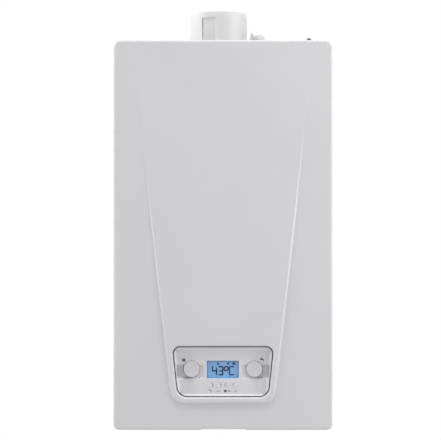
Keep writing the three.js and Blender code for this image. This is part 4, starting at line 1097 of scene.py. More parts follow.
def display_signs():
    """Outlines of the three small signs along the display's top: a tap, a flame and a radiator."""
    tap = [(-10.3, -2.2), (-10.3, 2.2), (-8.4, 2.0), (-6.4, 0.2), (-7.8, -2.0), (-8.9, -2.2)]
    flame = [(7.6, -2.2), (9.8, -2.0), (11.0, 0.0), (11.8, 2.4), (9.6, 1.4), (8.2, 1.4), (7.0, -0.4)]
    radiator = [(16.9, -2.3), (21.8, -2.3), (21.8, 1.9), (20.7, 1.9), (20.3, 2.4), (18.4, 2.4), (18.0, 1.9),
                (16.9, 1.9)]
    return [[(x, 119.0 + z) for x, z in sign] for sign in (tap, flame, radiator)]


def sides_of(line, half, closed=False):
    """Both edges of an even band along a line of points."""
    points = [Vector(p) for p in line]
    count = len(points)
    left, right = [], []
    for i, here in enumerate(points):
        before = points[i - 1 if i or closed else 0]
        after = points[(i + 1) % count if closed else min(i + 1, count - 1)]
        ahead = (after - before).normalized()
        side = Vector((-ahead.y, ahead.x)) * half
        left.append(tuple(here + side))
        right.append(tuple(here - side))
    return left, right


def flat_stroke(bm, line, half, front, back):
    """A flat band of even width with pointed ends along a line."""
    first, last = Vector(line[0]), Vector(line[-1])
    if (first - last).length < 1e-6:
        left, right = sides_of(line[:-1], half, True)
        closed_round(bm, [laid_at(*row) for row in ((left, front), (right, front), (right, back), (left, back))])
        return
    left, right = sides_of(line, half)
    along = (last - first).normalized() * half * 0.8
    prism(bm, "y", [tuple(first - along), *right, tuple(last + along), *left[::-1]], front, back, 0.0, 1)


def dial_profile(radius, front, back, crown):
    """Profile of a knob: slightly hollow face, rounded rim, straight side."""
    rim, wall = 1.1, 1.8
    face = [((radius - 1.3) * k / 8, front + crown * (1 - (k / 8) ** 2)) for k in range(9)]
    face += [(radius - rim + out, front + deep) for out, deep in round_over(rim, 6)]
    return face + [(radius, back - 0.4), (radius - 0.4, back), (radius - wall, back), (radius - wall, front + 3.0),
                   (0.0, front + 3.0)]


class BOILER_OT_knobs(bpy.types.Operator):
    """Turning knobs for heating and hot water: smooth caps with a shallow hollow and a rounded rim"""

    bl_idname = "boiler.knobs"
    bl_label = "Knobs"

    def execute(self, context):
        radius = in_mm(context.scene.boiler_controls.knob_radius)
        for node, side in (("heating_knob", -1), ("hot_water_knob", 1)):
            front, shaft_end = FLOOR_Y - KNOB_PROUD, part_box(node)[1][1] / MM
            bm = bmesh.new()
            centre = (side * KNOB_X, CONTROL_Z)
            lathe(bm, "y", centre, dial_profile(radius, front, FLOOR_Y + 5.0, 0.5), 96)
            rod(bm, "y", centre, 3.4, front + 2.6, shaft_end, 0.4, 32)
            stand_in(bm, node, "cap", 50, node)
        return {"FINISHED"}


class BOILER_OT_buttons(bpy.types.Operator):
    """Four push buttons whose faces fall away towards the middle of the panel"""

    bl_idname = "boiler.buttons"
    bl_label = "Buttons"

    def execute(self, context):
        nodes = ("button_return", "button_minus", "button_plus", "button_confirm")
        for node, x in zip(nodes, BUTTON_XS):
            front, back = FLOOR_Y + 0.1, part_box(node)[1][1] / MM
            tilt, rim = -copysign(1.3, x), 0.9
            bm = bmesh.new()
            shape = [(0.0, front), (BUTTON_R - rim, front)]
            shape += [(BUTTON_R - rim + out, front + deep) for out, deep in round_over(rim, 5)]
            shape += [(BUTTON_R, back), (0.0, back)]
            lathe(bm, "y", (x, BUTTON_Z), shape, 40)
            for vert in bm.verts:
                if vert.co.y < front + 2.5:
                    vert.co.y += tilt * (vert.co.x - x) / BUTTON_R * (1.0 if vert.co.y < front + 1.9 else 0.5)
            stand_in(bm, node, "cap", 50, node)
        return {"FINISHED"}


def inked(bm, outline, lift=0.06):
    """A printed mark laid on the fascia: its outline follows the dish."""
    loft(bm, [[(x, fascia_y(x, z) + out, z) for x, z in outline] for out in (-lift, 0.1)])


def band(line, half):
    """Outline of an even band along a line of points."""
    left, right = sides_of(line, half)
    return right + left[::-1]


def arc_points(x, z, radius, start, end, count=12):
    """Points along an arc, angles in degrees."""
    return [polar((x, z), radius, radians(start + (end - start) * k / count)) for k in range(count + 1)]


def box_outline(x, z, half_w, half_h, corner=0.3):
    """Outline of a small rectangle with round corners."""
    return fillet(rectangle(x - half_w, x + half_w, z - half_h, z + half_h), corner, 3)


class BOILER_OT_symbols(bpy.types.Operator):
    """Printed symbols: radiator and tap at the knobs, scale ends, and one sign under each button"""

    bl_idname = "boiler.symbols"
    bl_label = "Printed symbols"

    def execute(self, context):
        bm = bmesh.new()
        x, z = -70.6, 125.4
        for k in range(4):
            inked(bm, box_outline(x - 2.4 + 1.6 * k, z, 0.7, 2.6, 0.5))
        for high in (-1.5, 1.5):
            inked(bm, box_outline(x, z + high, 2.9, 0.55, 0.1), 0.07)
        x, z = 69.8, 126.4
        inked(bm, band([(x - 3.1, z + 0.5), (x + 1.4, z + 0.5), (x + 2.4, z - 0.2), (x + 2.5, z - 1.6)], 1.2))
        inked(bm, box_outline(x - 0.8, z + 1.9, 0.6, 0.8, 0.1))
        inked(bm, box_outline(x - 0.8, z + 2.7, 1.9, 0.5, 0.2), 0.07)
        inked(bm, circle(x + 2.5, z - 3.1, 0.75, 10))
        for x in (-70.8, 41.7):
            inked(bm, band([(x - 1.7, 94.4), (x + 1.7, 93.8)], 0.32))
        for x in (-42.3, 70.0):
            inked(bm, band([(x - 1.1, 93.6), (x + 1.1, 93.6)], 0.5))
            inked(bm, band([(x, 92.6), (x, 94.8)], 0.5), 0.07)
        low = 69.9
        inked(bm, band(arc_points(-22.4, low - 0.2, 2.1, -110, 110), 0.36))
        inked(bm, [(-25.6, low + 1.9), (-23.1, low + 0.5), (-23.1, low + 3.2)])
        inked(bm, box_outline(-8.2, low, 3.4, 0.5, 0.15))
        inked(bm, box_outline(4.1, low, 2.4, 2.3, 0.9))
        arrow = [(9.2, low - 1.8), (9.2, low + 1.8), (14.6, low)]
        for k, corner in enumerate(arrow):
            inked(bm, band([corner, arrow[(k + 1) % 3]], 0.3))
        inked(bm, band([(19.8, low + 0.1), (21.8, low - 1.7)], 0.36))
        inked(bm, band([(21.6, low - 1.8), (25.6, low + 2.1)], 0.36), 0.07)
        piece_from(bm, "fascia_symbols", "control_panel", "fascia_grey", finish="symbol_ink")
        return {"FINISHED"}


# ---- flue and caps
def pocket_depth(angle, z, depth):
    """How far the turret's wall lies back at an angle from the front and a height.

    Four pockets have flat floors that sink towards their foot, a sharp groove along the one edge and
    a slanted wall up to a rib at the other.
    """
    turned = (degrees(angle) + POCKET_START) % 90.0
    level = smooth((z - 703.5) / 2.0) * smooth((752.0 - z) / 3.0)
    if turned > 33.0:
        return 0.5 * level * smooth(1 - abs(turned - 38.6) / 1.6)
    sink = depth * (0.35 + 0.15 * min(max((750.0 - z) / 20.0, 0.0), 1.0) + 1.1 * smooth((735.0 - z) / 30.0))
    first, last, here = (radians(a) for a in (1.5, 30.0, turned))
    near, far = TURRET_R - 0.45 * sink, TURRET_R - sink
    flat = near * far * sin(last - first) / (near * sin(here - first) + far * sin(last - here))
    edge = smooth(turned / 0.6)
    groove = (depth + 0.8) * edge * min(max((5.6 - turned) / 4.6, 0.0), 1.0)
    return level * max((TURRET_R - flat) * edge * min((33.0 - turned) / 3.4, 1.0), groove)


class BOILER_OT_flue_turret(bpy.types.Operator):
    """Flue turret: white moulded collar with flat-floored pockets between its ribs, a rim and a flange"""

    bl_idname = "boiler.flue_turret"
    bl_label = "Flue turret"

    def execute(self, context):
        settings = context.scene.boiler_flue
        depth = in_mm(settings.pocket_depth)
        outer = [(56.0, TURRET_LOW), (56.0, TURRET_LOW + 2.2), (55.4, TURRET_LOW + 3.0), (53.9, TURRET_LOW + 3.2)]
        outer += [(TURRET_R, TURRET_LOW + 4.0)] + [(TURRET_R, 702.0 + k) for k in range(52)]
        outer += [(TURRET_R, 760.6), (TURRET_R - 0.4, 762.0), (TURRET_R - 1.3, 762.8), (TURRET_R - 2.2, TURRET_HIGH)]
        inner = [(50.3, TURRET_HIGH)] + [(50.0, z) for z in (762.4, 754, 750, 744, 736, 728, 720, 712, 706, 703, 697)]
        bm = bmesh.new()
        turns = [0, 0.3, 0.6, 1.0, 1.8, 2.8, 3.8, 4.8, 5.6] + [5.6 + 24.0 * k / 9 for k in range(1, 10)]
        turns += [30.4, 31.3, 32.2, 33.0, 34.9, 36.9, 37.5, 38.1, 38.6, 39.1, 39.7, 40.3]
        turns += [40.3 + 49.7 * k / 20 for k in range(1, 20)]
        marks = [quarter * 90.0 - POCKET_START + turn for quarter in range(4) for turn in turns]
        fine = max(settings.segments // 120, 1)
        angles = []
        for here, following in zip(marks, [*marks[1:], marks[0] + 360]):
            angles += [radians(here + (following - here) * part / fine) - pi / 2 for part in range(fine)]

        def sunk(angle, radius, z):
            if z >= 753 or radius >= 54:
                return 0.0
            wall = TURRET_R - pocket_depth(angle + pi / 2, z, depth) - (2.0 if radius < 52 else 0.0)
            return min(wall - radius, 0.0)
        lathe(bm, "z", (FLUE_X, FLUE_Y), outer + inner, angles, sunk)
        # small gate mark beside the front rib
        angle, z = radians(5.1), 748.3
        x, y = FLUE_X + (TURRET_R - 0.3) * sin(angle), FLUE_Y - (TURRET_R - 0.3) * cos(angle)
        lathe(bm, "y", (x, z), [(0, y - 0.2), (1.1, y - 0.2), (1.3, y + 0.6), (0, y + 0.6)], 16)
        stand_in(bm, "flue_turret", "collar", 60)
        return {"FINISHED"}


class BOILER_OT_flue_pipe(bpy.types.Operator):
    """Inner flue pipe with its socket, sealing bead and lip"""

    bl_idname = "boiler.flue_pipe"
    bl_label = "Inner flue pipe"

    def execute(self, context):
        bm = bmesh.new()
        outer = [(31.0, 604.0), (31.0, 708.0), (31.8, 712.0), (34.5, 717.0), (34.5, 757.0), (34.3, 759.4),
                 (34.0, 760.0)]
        inner = [(33.0, 760.0), (33.0, 719.0), (30.2, 713.5), (29.5, 709.0), (29.5, 604.0)]
        lathe(bm, "z", (FLUE_X, FLUE_Y), outer + inner, 96)
        for radius, z in ((29.3, 612.0), (33.2, 742.0)):
            lathe(bm, "z", (FLUE_X, FLUE_Y), [(radius, z - 1.6), (radius - 0.9, z - 0.8), (radius - 0.9, z + 0.8),
                                              (radius, z + 1.6)], 72)
        stand_in(bm, "flue_inner_pipe", "moulded", 40)
        return {"FINISHED"}


class BOILER_OT_caps(bpy.types.Operator):
    """Sampling cap with its finger fin, and the valve cap of the expansion vessel"""

    bl_idname = "boiler.caps"
    bl_label = "Caps"

    def execute(self, context):
        bm = bmesh.new()
        low = TURRET_LOW
        shape = [(0, low), (12.6, low), (12.6, 700.2), (12.2, 701.0), (11.3, 701.4), (11.2, 712.5), (10.8, 715.4),
                 (8.6, 719.9), (6.6, 722.5), (5.0, 723.3), (0, 723.5)]
        lathe(bm, "z", (68.2, FLUE_Y), fillet(shape, [0, 0, 0.5, 0.5, 0.5, 1.5, 2, 3, 2, 1, 0], 4), 64)
        fin = fillet([(50.4, low), (60.5, low), (60.6, 717.5), (58.6, 721.6), (57.0, 724.6), (56.0, 727.0),
                      (52.9, 727.0), (50.9, 714.5)], [0, 0, 2, 2, 1, 0.5, 0.5, 2], 3)
        prism(bm, "y", fin, FLUE_Y - 4.5, FLUE_Y + 4.5, 0.6)
        stand_in(bm, "test_point_cap", "moulded", 40)
        bm = bmesh.new()
        shape = [(0, 697.0), (5.8, 697.0), (5.8, 711.6), (5.5, 713.2), (4.6, 714.8), (2.2, 717.0), (1.2, 717.8),
                 (0, 718.0)]
        lathe(bm, "z", (161.0, FLUE_Y), shape, 48,
              wobble=lambda a, r, z: 0.0 if z > 711 or r < 5 else -0.28 * (cos(12 * a) < -0.2))
        stand_in(bm, "vessel_valve_cap", "knurled", 40)
        return {"FINISHED"}


# ---- gas and water
TAILS = (("heating_flow_tail", -130.0, 13.2, 9.5, 65.6), ("hot_water_tail", -65.0, 10.5, 7.0, 65.6),
         ("gas_tail", 0.0, 13.2, 9.5, 84.0), ("cold_water_tail", 65.0, 10.5, 7.0, 65.6),
         ("heating_return_tail", 130.0, 13.2, 9.5, 65.6))


def thread(radius, low, high, pitch=1.8, depth=0.65):
    """Profile points up a pipe thread: ridges that run out at the top."""
    points = [(radius - depth, low), (radius - depth, low + 0.4)]
    z = low + 0.8
    while z < high - pitch:
        points += [(radius, z), (radius, z + pitch * 0.2), (radius - depth, z + pitch * 0.55),
                   (radius - depth, z + pitch * 0.75)]
        z += pitch
    return points + [(radius - depth, high)]


class BOILER_OT_tails(bpy.types.Operator):
    """Brass pipe tails with their threads and hexagons, and the body of the filling tap"""

    bl_idname = "boiler.tails"
    bl_label = "Pipe tails"

    def execute(self, context):
        for node, x, radius, bore, top in TAILS:
            bm = bmesh.new()
            shape = thread(radius, 8.0, 26.0)
            shape += [(radius - 1.2, 27.0), (radius - 1.2, top - 0.4), (radius - 1.6, top), (bore, top), (bore, 8.6),
                      (bore + 0.6, 8.0)]
            lathe(bm, "z", (x, TAIL_Y), shape, 56)
            nut(bm, "z", (x, TAIL_Y), (radius + 4.5) * 1.732, 39.0, 51.7)
            lathe(bm, "z", (x, TAIL_Y), fillet([(radius - 1.2, 36.0), (radius + 2.4, 36.4), (radius + 2.4, 38.9),
                                                (radius - 1.2, 38.9)], 0.4, 2), 48)
            if node == "cold_water_tail":
                rod(bm, "y", (x, 30.0), 6.5, -142.0, TAIL_Y - radius + 1.5, 0.8, 32)
                rod(bm, "y", (x, 30.0), 7.6, -124.0, -116.0, 0.8, 32)
                nut(bm, "y", (x, 30.0), 13.6, -145.0, -139.0)
                rod(bm, "z", TAP, 6.0, 23.0, 37.0, 0.8, 32)
                rod(bm, "z", TAP, 2.4, 12.0, 24.0, 0.3, 24)
            stand_in(bm, node, "turned")
        return {"FINISHED"}


class BOILER_OT_hand_knobs(bpy.types.Operator):
    """Fluted knobs of the filling tap and of the safety valve"""

    bl_idname = "boiler.hand_knobs"
    bl_label = "Tap and valve knobs"

    def execute(self, context):
        for node, axis, centre, radius, low, high in (("filling_tap_knob", "z", TAP, 13.6, 8.0, 21.5),
                                                      ("safety_valve_knob", "y", VALVE, 14.6, -150.0, -171.0)):
            sign = 1 if high > low else -1
            shape = [(2.7, low), (radius - 3.0, low), (radius - 0.8, low + sign * 0.8), (radius, low + sign * 2.2),
                     (radius, high - sign * 3.4), (radius - 1.0, high - sign * 1.6), (radius - 3.2, high - sign * 0.3),
                     (radius - 5.0, high)]
            if axis == "y":
                shape += [(3.6, high), (3.4, high + 1.0), (0.0, high + 1.0), (0.0, -164.6), (2.7, -164.6)]
            else:
                shape += [(2.7, high)]
            bm = bmesh.new()
            lathe(bm, axis, centre, shape, 96,
                  lambda angle, radius, _: -1.9 * (0.5 - 0.5 * cos(6 * angle)) ** 2 if radius > 9 else 0.0)
            stand_in(bm, node, "fluted", 45, node)
        return {"FINISHED"}


class BOILER_OT_manifolds(bpy.types.Operator):
    """Brass blocks under both sides, with their seats, plugs and clips"""

    bl_idname = "boiler.manifolds"
    bl_label = "Manifolds"

    def execute(self, context):
        bm = bmesh.new()
        block(bm, -142, -53, -118, -82, 66, 100, 1.6, 6.0, "y")
        rod(bm, "z", (-88, TAIL_Y), 15, 98, 108, 0.8)
        nut(bm, "z", (-130, TAIL_Y), 26.5, 98.0, 106.0)
        rod(bm, "y", (-60, 84), 8, -84, -76.6, 0.6, 32)
        for x in (-108.0, -70.0):
            rod(bm, "y", (x, 83), 9.0, -121.0, -117.0, 1.0, 36)
            nut(bm, "y", (x, 83), 11.0, -117.0, -124.5)
        stand_in(bm, "flow_manifold", "cast")
        bm = bmesh.new()
        block(bm, 53, 142, -118, -82, 66, 100, 1.6, 6.0, "y")
        rod(bm, "z", (110, TAIL_Y), 16, 98, 104, 0.8)
        rod(bm, "z", (62, -104), 9, 98, 104, 0.5, 32)
        rod(bm, "y", (62, 84), 8, -84, -76.6, 0.6, 32)
        nut(bm, "x", (TAIL_Y, 84), 19.0, 140.0, 149.0)
        stand_in(bm, "return_manifold", "cast")
        return {"FINISHED"}


class BOILER_OT_diverter(bpy.types.Operator):
    """Clip-on actuator of the diverter valve"""

    bl_idname = "boiler.diverter"
    bl_label = "Diverter actuator"

    def execute(self, context):
        bm = bmesh.new()
        block(bm, -110, -66, -124, -78, 112, 152, 1.4, 5.0)
        block(bm, -108, -68, -122, -80, 151, 160, 2.4, 6.0)
        for k in range(5):
            block(bm, -106 + 8.4 * k, -102 + 8.4 * k, -124.6, -123.4, 118, 146, 0.5, 1.0)
        rod(bm, "z", (-88, TAIL_Y), 14, 108.4, 113, 0.8)
        block(bm, -96, -80, -134, -122, 126, 138, 0.8, 1.2, "y")
        block(bm, -93.5, -82.5, -134.4, -130, 128.5, 135.5, 0.3, 0.8, "y")
        stand_in(bm, "diverter_actuator", "moulded")
        return {"FINISHED"}


class BOILER_OT_plate_exchanger(bpy.types.Operator):
    """Brazed stack of pressed plates for the hot water"""

    bl_idname = "boiler.plate_exchanger"
    bl_label = "Plate exchanger"

    def execute(self, context):
        bm = bmesh.new()
        for k in range(14):
            y = -75.6 + 3.05 * k
            block(bm, -77.6, 79.6, y, y + 1.7, 74.4, 147.6, 0.7, 12.0, "y")
            block(bm, -76, 78, y + 1.2, y + 3.4, 76, 146, 0.2, 11.0, "y")
        for x, z in ((-60, 84), (62, 84), (-60, 136), (62, 136)):
            rod(bm, "y", (x, z), 8.0, -76.2, -72.0, 0.4, 32)
        stand_in(bm, "plate_heat_exchanger", "brazed")
        return {"FINISHED"}


class BOILER_OT_pump(bpy.types.Operator):
    """Circulation pump: cast volute and motor with its terminal box"""

    bl_idname = "boiler.pump"
    bl_label = "Pump"

    def execute(self, context):
        bm = bmesh.new()
        volute = fillet([(0, -92), (28, -92), (39, -98), (40.5, -108), (40, -124), (35, -131), (35, -132),
                         (0, -132)], [0, 4, 5, 5, 5, 1, 0.4, 0], 4)
        lathe(bm, "y", PUMP, volute, 80)
        rod(bm, "z", (110, TAIL_Y), 14, 104.4, 124, 1.0)
        rod(bm, "z", (110, TAIL_Y), 13, 174, 190, 1.0)
        nut(bm, "z", (110, TAIL_Y), 29.0, 188.0, 198.0)
        for x, z, _ in ring_of(PUMP, 36.5, 4, 45.0):
            rod(bm, "y", (x, z), 5.2, -131.9, -118.0, 0.8, 24)
        stand_in(bm, "pump_volute", "cast")
        bm = bmesh.new()
        shape = [(0, -132.4), (32, -132.4), (32, -139.0), (36, -141.5)]
        for k in range(6):
            y = -143.5 - 4.6 * k
            shape += [(36, y), (36, y - 2.4), (34.6, y - 2.9), (34.6, y - 4.1)]
        shape += [(36, -172), (35, -175.4), (32, -178), (14.5, -179.6), (14, -180.2), (14, -182.4), (13.4, -183),
                  (0, -183)]
        lathe(bm, "y", PUMP, shape, 80)
        block(bm, 138, 166, -176, -142, 128, 172, 1.4, 4.0, "x")
        block(bm, 130, 140, -172, -146, 132, 168, 0.8, 3.0, "x")
        block(bm, 146, 160, -172, -150, 122, 130, 0.8, 2.0)
        stand_in(bm, "pump_motor", "housing")
        return {"FINISHED"}


class BOILER_OT_fittings(bpy.types.Operator):
    """Air vent, safety valve and condensate trap"""

    bl_idname = "boiler.fittings"
    bl_label = "Vent, safety valve and trap"

    def execute(self, context):
        bm = bmesh.new()
        vent = [(0, 104.4), (6, 104.4), (6, 110), (9.5, 113), (9.5, 146), (8.6, 150.6), (4, 151.4), (4, 157),
                (3.2, 158), (0, 158)]
        lathe(bm, "z", (58, -104), fillet(vent, 0.7, 3), 48)
        nut(bm, "z", (58, -104), 14.4, 104.8, 110.4)
        stand_in(bm, "air_vent", "turned")
        bm = bmesh.new()
        bonnet = [(0, -118.4), (12, -118.4), (15, -122), (15, -143), (11, -149), (0, -149)]
        lathe(bm, "y", VALVE, fillet(bonnet, 1.0, 3), 56)
        nut(bm, "y", VALVE, 23.5, -118.6, -125.0)
        lathe(bm, "z", (95, -136), [(4.5, 30), (6.5, 30), (6.5, 76), (4.5, 76)], 40)
        rod(bm, "y", VALVE, 2.4, -164, -148, 0.3, 24)
        stand_in(bm, "safety_valve", "turned")
        bm = bmesh.new()
        trap = [(0, 192), (8, 192), (8, 184), (14, 179), (20, 174), (20, 116), (21.2, 115), (21.2, 111), (20, 110),
                (20, 93), (22, 90), (22, 66), (16, 62), (10, 60)]
        for k in range(6):
            z = 57.0 - 4.4 * k
            trap += [(10, z), (10, z - 1.6), (8.9, z - 2.4), (8.9, z - 3.4)]
        trap += [(10, 30.5), (9.6, 30), (6, 30), (6, 56), (0, 56)]

        def grip(angle, radius, z):
            return -0.5 * (cos(16 * angle) > 0.6) if 67 < z < 89.5 and radius > 21 else 0.0
        lathe(bm, "z", (-165, -48), trap, 64, grip)
        stand_in(bm, "siphon_trap", "moulded")
        return {"FINISHED"}


def hose_ribs(along, whole):
    """Corrugation of the hose along its length, smooth at both cuffs."""
    return -1.1 * (0.5 + 0.5 * cos(2 * pi * along / 4.6)) if 12 <= along <= whole - 12 else 0.0


def fine_path(corners, bend, step):
    """A route resampled at an even step."""
    path = route(corners, bend)
    made, left = [path[0]], 0.0
    for a, b in zip(path, path[1:]):
        span = (b - a).length
        while left + step <= span:
            left += step
            made.append(a.lerp(b, left / span))
        left -= span
    return made + [path[-1]]


PIPES = {
    "flow_pipe": ([(-130, -100, 379.6), (-130, -100, 106.4)], 9, 10),
    "return_pipe": ([(20, -90, 365.6), (20, -90, 238), (110, -100, 238), (110, -100, 198.4)], 9, 18),
    "gas_supply_pipe": ([(0, -100, 84.4), (0, -100, 213), (92, -100, 213), (92, -160, 213), (92, -160, 230.6)], 7, 12),
    "gas_injection_pipe": ([(99, -160, 334.4), (99, -160, 352), (99, -250, 352), (11, -250, 352),
                            (11, -250, 327.4)], 5, 9),
    "vessel_hose": ([(165, -100, 211.6), (165, -100, 110), (165, -64, 92), (128, -64, 92), (128, -81.6, 92)], 4.5, 8),
}


class BOILER_OT_pipes(bpy.types.Operator):
    """Bent copper and steel pipes with collars at their ends, and the corrugated condensate hose"""

    bl_idname = "boiler.pipes"
    bl_label = "Pipes"

    def execute(self, context):
        for node, (corners, radius, bend) in PIPES.items():
            bm = bmesh.new()
            tube(bm, corners, radius, bend, 36)
            for end, inner in ((corners[0], corners[1]), (corners[-1], corners[-2])):
                ahead = (Vector(inner) - Vector(end)).normalized()
                start = Vector(end) + ahead * 2.4
                tube(bm, [start, start + ahead * 7.0], radius + 1.6, 0, 36, bore=radius - 0.2)
            stand_in(bm, node, "bent")
        corners = [(-60, -60, 351.6), (-60, -60, 330), (-165, -48, 300), (-165, -48, 192.4)]
        bm = bmesh.new()
        tube(bm, fine_path(corners, 14, 0.9), 7.0, 0, 32, bore=5.4, swell=hose_ribs)
        stand_in(bm, "condensate_hose", "ribbed", 60)
        return {"FINISHED"}


class BOILER_OT_gas_valve(bpy.types.Operator):
    """Cast gas valve with two solenoid coils, regulator cap, plug and flanges"""

    bl_idname = "boiler.gas_valve"
    bl_label = "Gas valve"

    def execute(self, context):
        bm = bmesh.new()
        block(bm, 84, 115, -188, -132, 234, 328, 1.6, 5.0, "x")
        for z in (244, 312):
            block(bm, 86, 113, -190, -130, z, z + 8, 1.0, 3.0)
        for z in (304, 268):
            rod(bm, "y", (99.5, z), 13, -203.0, -187, 1.2, 56)
            rod(bm, "y", (99.5, z), 5.0, -204.0, -202.0, 0.5, 28)
        rod(bm, "z", (92, -160), 8, 231, 238, 0.6, 40)
        rod(bm, "z", (99, -160), 8, 324, 334, 0.6, 40)
        nut(bm, "z", (99, -160), 17.0, 328.4, 333.6)
        rod(bm, "x", (-160, 286), 9.0, 82.4, 86.0, 0.8, 36)
        for y in (-182, -138):
            for z in (238.5, 323.5):
                rod(bm, "x", (y, z), 2.6, 82.8, 86, 0.5, 20)
        stand_in(bm, "gas_valve", "cast")
        return {"FINISHED"}


class BOILER_OT_vessel(bpy.types.Operator):
    """Flat expansion vessel: two drawn halves, rolled seam, pressed ribs, stem and straps"""

    bl_idname = "boiler.vessel"
    bl_label = "Expansion vessel"

    def execute(self, context):
        bm = bmesh.new()
        prism(bm, "x", fillet(rectangle(-222, -30, 218, 668), 30, 10), 122, 184, 13.0, 8)
        prism(bm, "x", fillet(rectangle(-223.6, -28.4, 216.4, 669.6), 31.5, 10), 151.5, 154.5, 1.4, 4)
        rod(bm, "z", (161, FLUE_Y), 3.7, 664, 706, 0.4, 28)
        rod(bm, "z", (165, -100), 7, 212, 224, 0.6, 36)
        nut(bm, "z", (165, -100), 13.6, 213.0, 219.0)
        for z in (250, 560):
            block(bm, 140, 166, -36, -1.5, z, z + 10, 0.8, 1.5)
        stand_in(bm, "expansion_vessel", "drawn", 30)
        return {"FINISHED"}


# ---- burner, exchanger and fan
class BOILER_OT_exchanger(bpy.types.Operator):
    """Heat exchanger: moulded drum with hoops, bolt bosses and ribs on its face, spigot, stubs and lugs"""

    bl_idname = "boiler.exchanger"
    bl_label = "Heat exchanger"

    def execute(self, context):
        bm = bmesh.new()
        shape = [(0, -30), (104, -30), (112, -34), (DRUM_R, -42)]
        for y in (-64.0, -92.0, -120.0, -148.0):
            shape += [(DRUM_R, y + 4), (DRUM_R + 2.6, y + 3), (DRUM_R + 2.6, y - 3), (DRUM_R, y - 4)]
        shape += [(DRUM_R, -169), (DRUM_R + 4, -171), (DRUM_R + 4, -180), (78, -180), (78, -176), (113, -176),
                  (113, -46), (106, -38), (0, -36)]
        lathe(bm, "y", DRUM, fillet(shape, 0.9, 2), 128)
        for x, z, _ in ring_of(DRUM, 114.5, 12, 15.0):
            rod(bm, "y", (x, z), 5.4, -182.6, -168.0, 0.8, 24)
            nut(bm, "y", (x, z), 8.2, -182.0, -185.6)
        for x, z, angle in ring_of(DRUM, 60.0, 8, 22.5):
            spoke(bm, "y", (x, z, angle), (-38, 44), 1.6, (-31.0, -27.4), 0.6, 2)
        spigot = [(26, 575), (28.4, 575), (28.4, 600), (29.8, 601), (29.8, 604), (28.4, 605), (28.4, 622), (26, 622)]
        lathe(bm, "z", (FLUE_X, FLUE_Y), fillet(spigot, 0.5, 2), 80)
        for centre, radius, low, high in (((-130, -100), 11, 380, 398), ((20, -90), 11, 366, 390),
                                          ((-60, -60), 9, 352, 366)):
            rod(bm, "z", centre, radius, low, high, 0.8, 40)
            rod(bm, "z", centre, radius + 2.4, low + 2.0, low + 7.0, 0.8, 40)
        for x in (DRUM_X - 70, DRUM_X + 70):
            block(bm, x - 12, x + 12, -38, -1.5, DRUM_Z + 50, DRUM_Z + 76, 1.0, 2.0, "y")
        piece_from(bm, "heat_exchanger_drum", "casing", "exchanger_black", ("heat_exchanger_shell",), sharp=36)
        bm = bmesh.new()
        turns, path = 6, []
        for k in range(turns * 48 + 1):
            x, z = polar(DRUM, 90, 2 * pi * k / 48)
            path.append(Vector((x, -164 + 112 * k / (turns * 48), z)))
        tube(bm, path, 7.2, 0, 16, bore=6.4)
        stand_in(bm, "exchanger_coil", "wound", 50)
        return {"FINISHED"}


class BOILER_OT_burner(bpy.types.Operator):
    """Burner door with its bolts and stiffening ribs, the perforated burner tube and both electrodes"""

    bl_idname = "boiler.burner"
    bl_label = "Burner"

    def execute(self, context):
        bm = bmesh.new()
        shape = [(24, -180.4), (102, -180.4), (102, -186), (97, -188), (92, -188), (88, -185.6), (72, -185.6),
                 (68, -188), (62, -185.4), (24, -185.4)]
        lathe(bm, "y", DRUM, fillet(shape, 0.8, 2), 128)
        for x, z, _ in ring_of(DRUM, 95.0, 8):
            nut(bm, "y", (x, z), 9.0, -187.8, -193.0)
            rod(bm, "y", (x, z), 2.6, -195.0, -187.0, 0.3, 16)
            rod(bm, "y", (x, z), 7.0, -188.9, -187.6, 0.3, 28)
        for x, z, angle in ring_of(DRUM, 80.0, 16, 11.25):
            if abs(x - DRUM_X - 52) < 26 and abs(z - DRUM_Z) < 34:
                continue
            spoke(bm, "y", (x, z, angle), (-8, 8), 1.1, (-187.2, -184.8), 0.5, 2)
        stand_in(bm, "burner_door", "cast", 36)
        bm = bmesh.new()
        shape = [(0, -70), (33, -70), (35, -72), (35, -175.5), (46, -175.5), (46, -179.4), (32, -179.4), (32, -74),
                 (0, -73)]
        lathe(bm, "y", DRUM, fillet(shape, 0.6, 2), 80)
        stand_in(bm, "burner_tube", "rolled", 36)
        for node, z in (("ignition_electrode", DRUM_Z + 20), ("flame_electrode", DRUM_Z - 20)):
            bm = bmesh.new()
            shape = [(0, -222), (2, -222), (2, -214)]
            for k in range(4):
                y = -213.0 + 4.6 * k
                shape += [(4.2, y), (5.0, y + 0.8), (5.0, y + 2.6), (4.2, y + 3.4)]
            shape += [(5, -190), (6.2, -189.6), (6.2, -185.6), (2.6, -185.6), (3, -176), (1.2, -175), (1.2, -120),
                      (0, -120)]
            lathe(bm, "y", (DRUM_X + 52, z), fillet(shape, 0.3, 2), 40)
            piece_from(bm, node + "_fired", "casing", "ceramic_white", (node,), sharp=40)
        return {"FINISHED"}


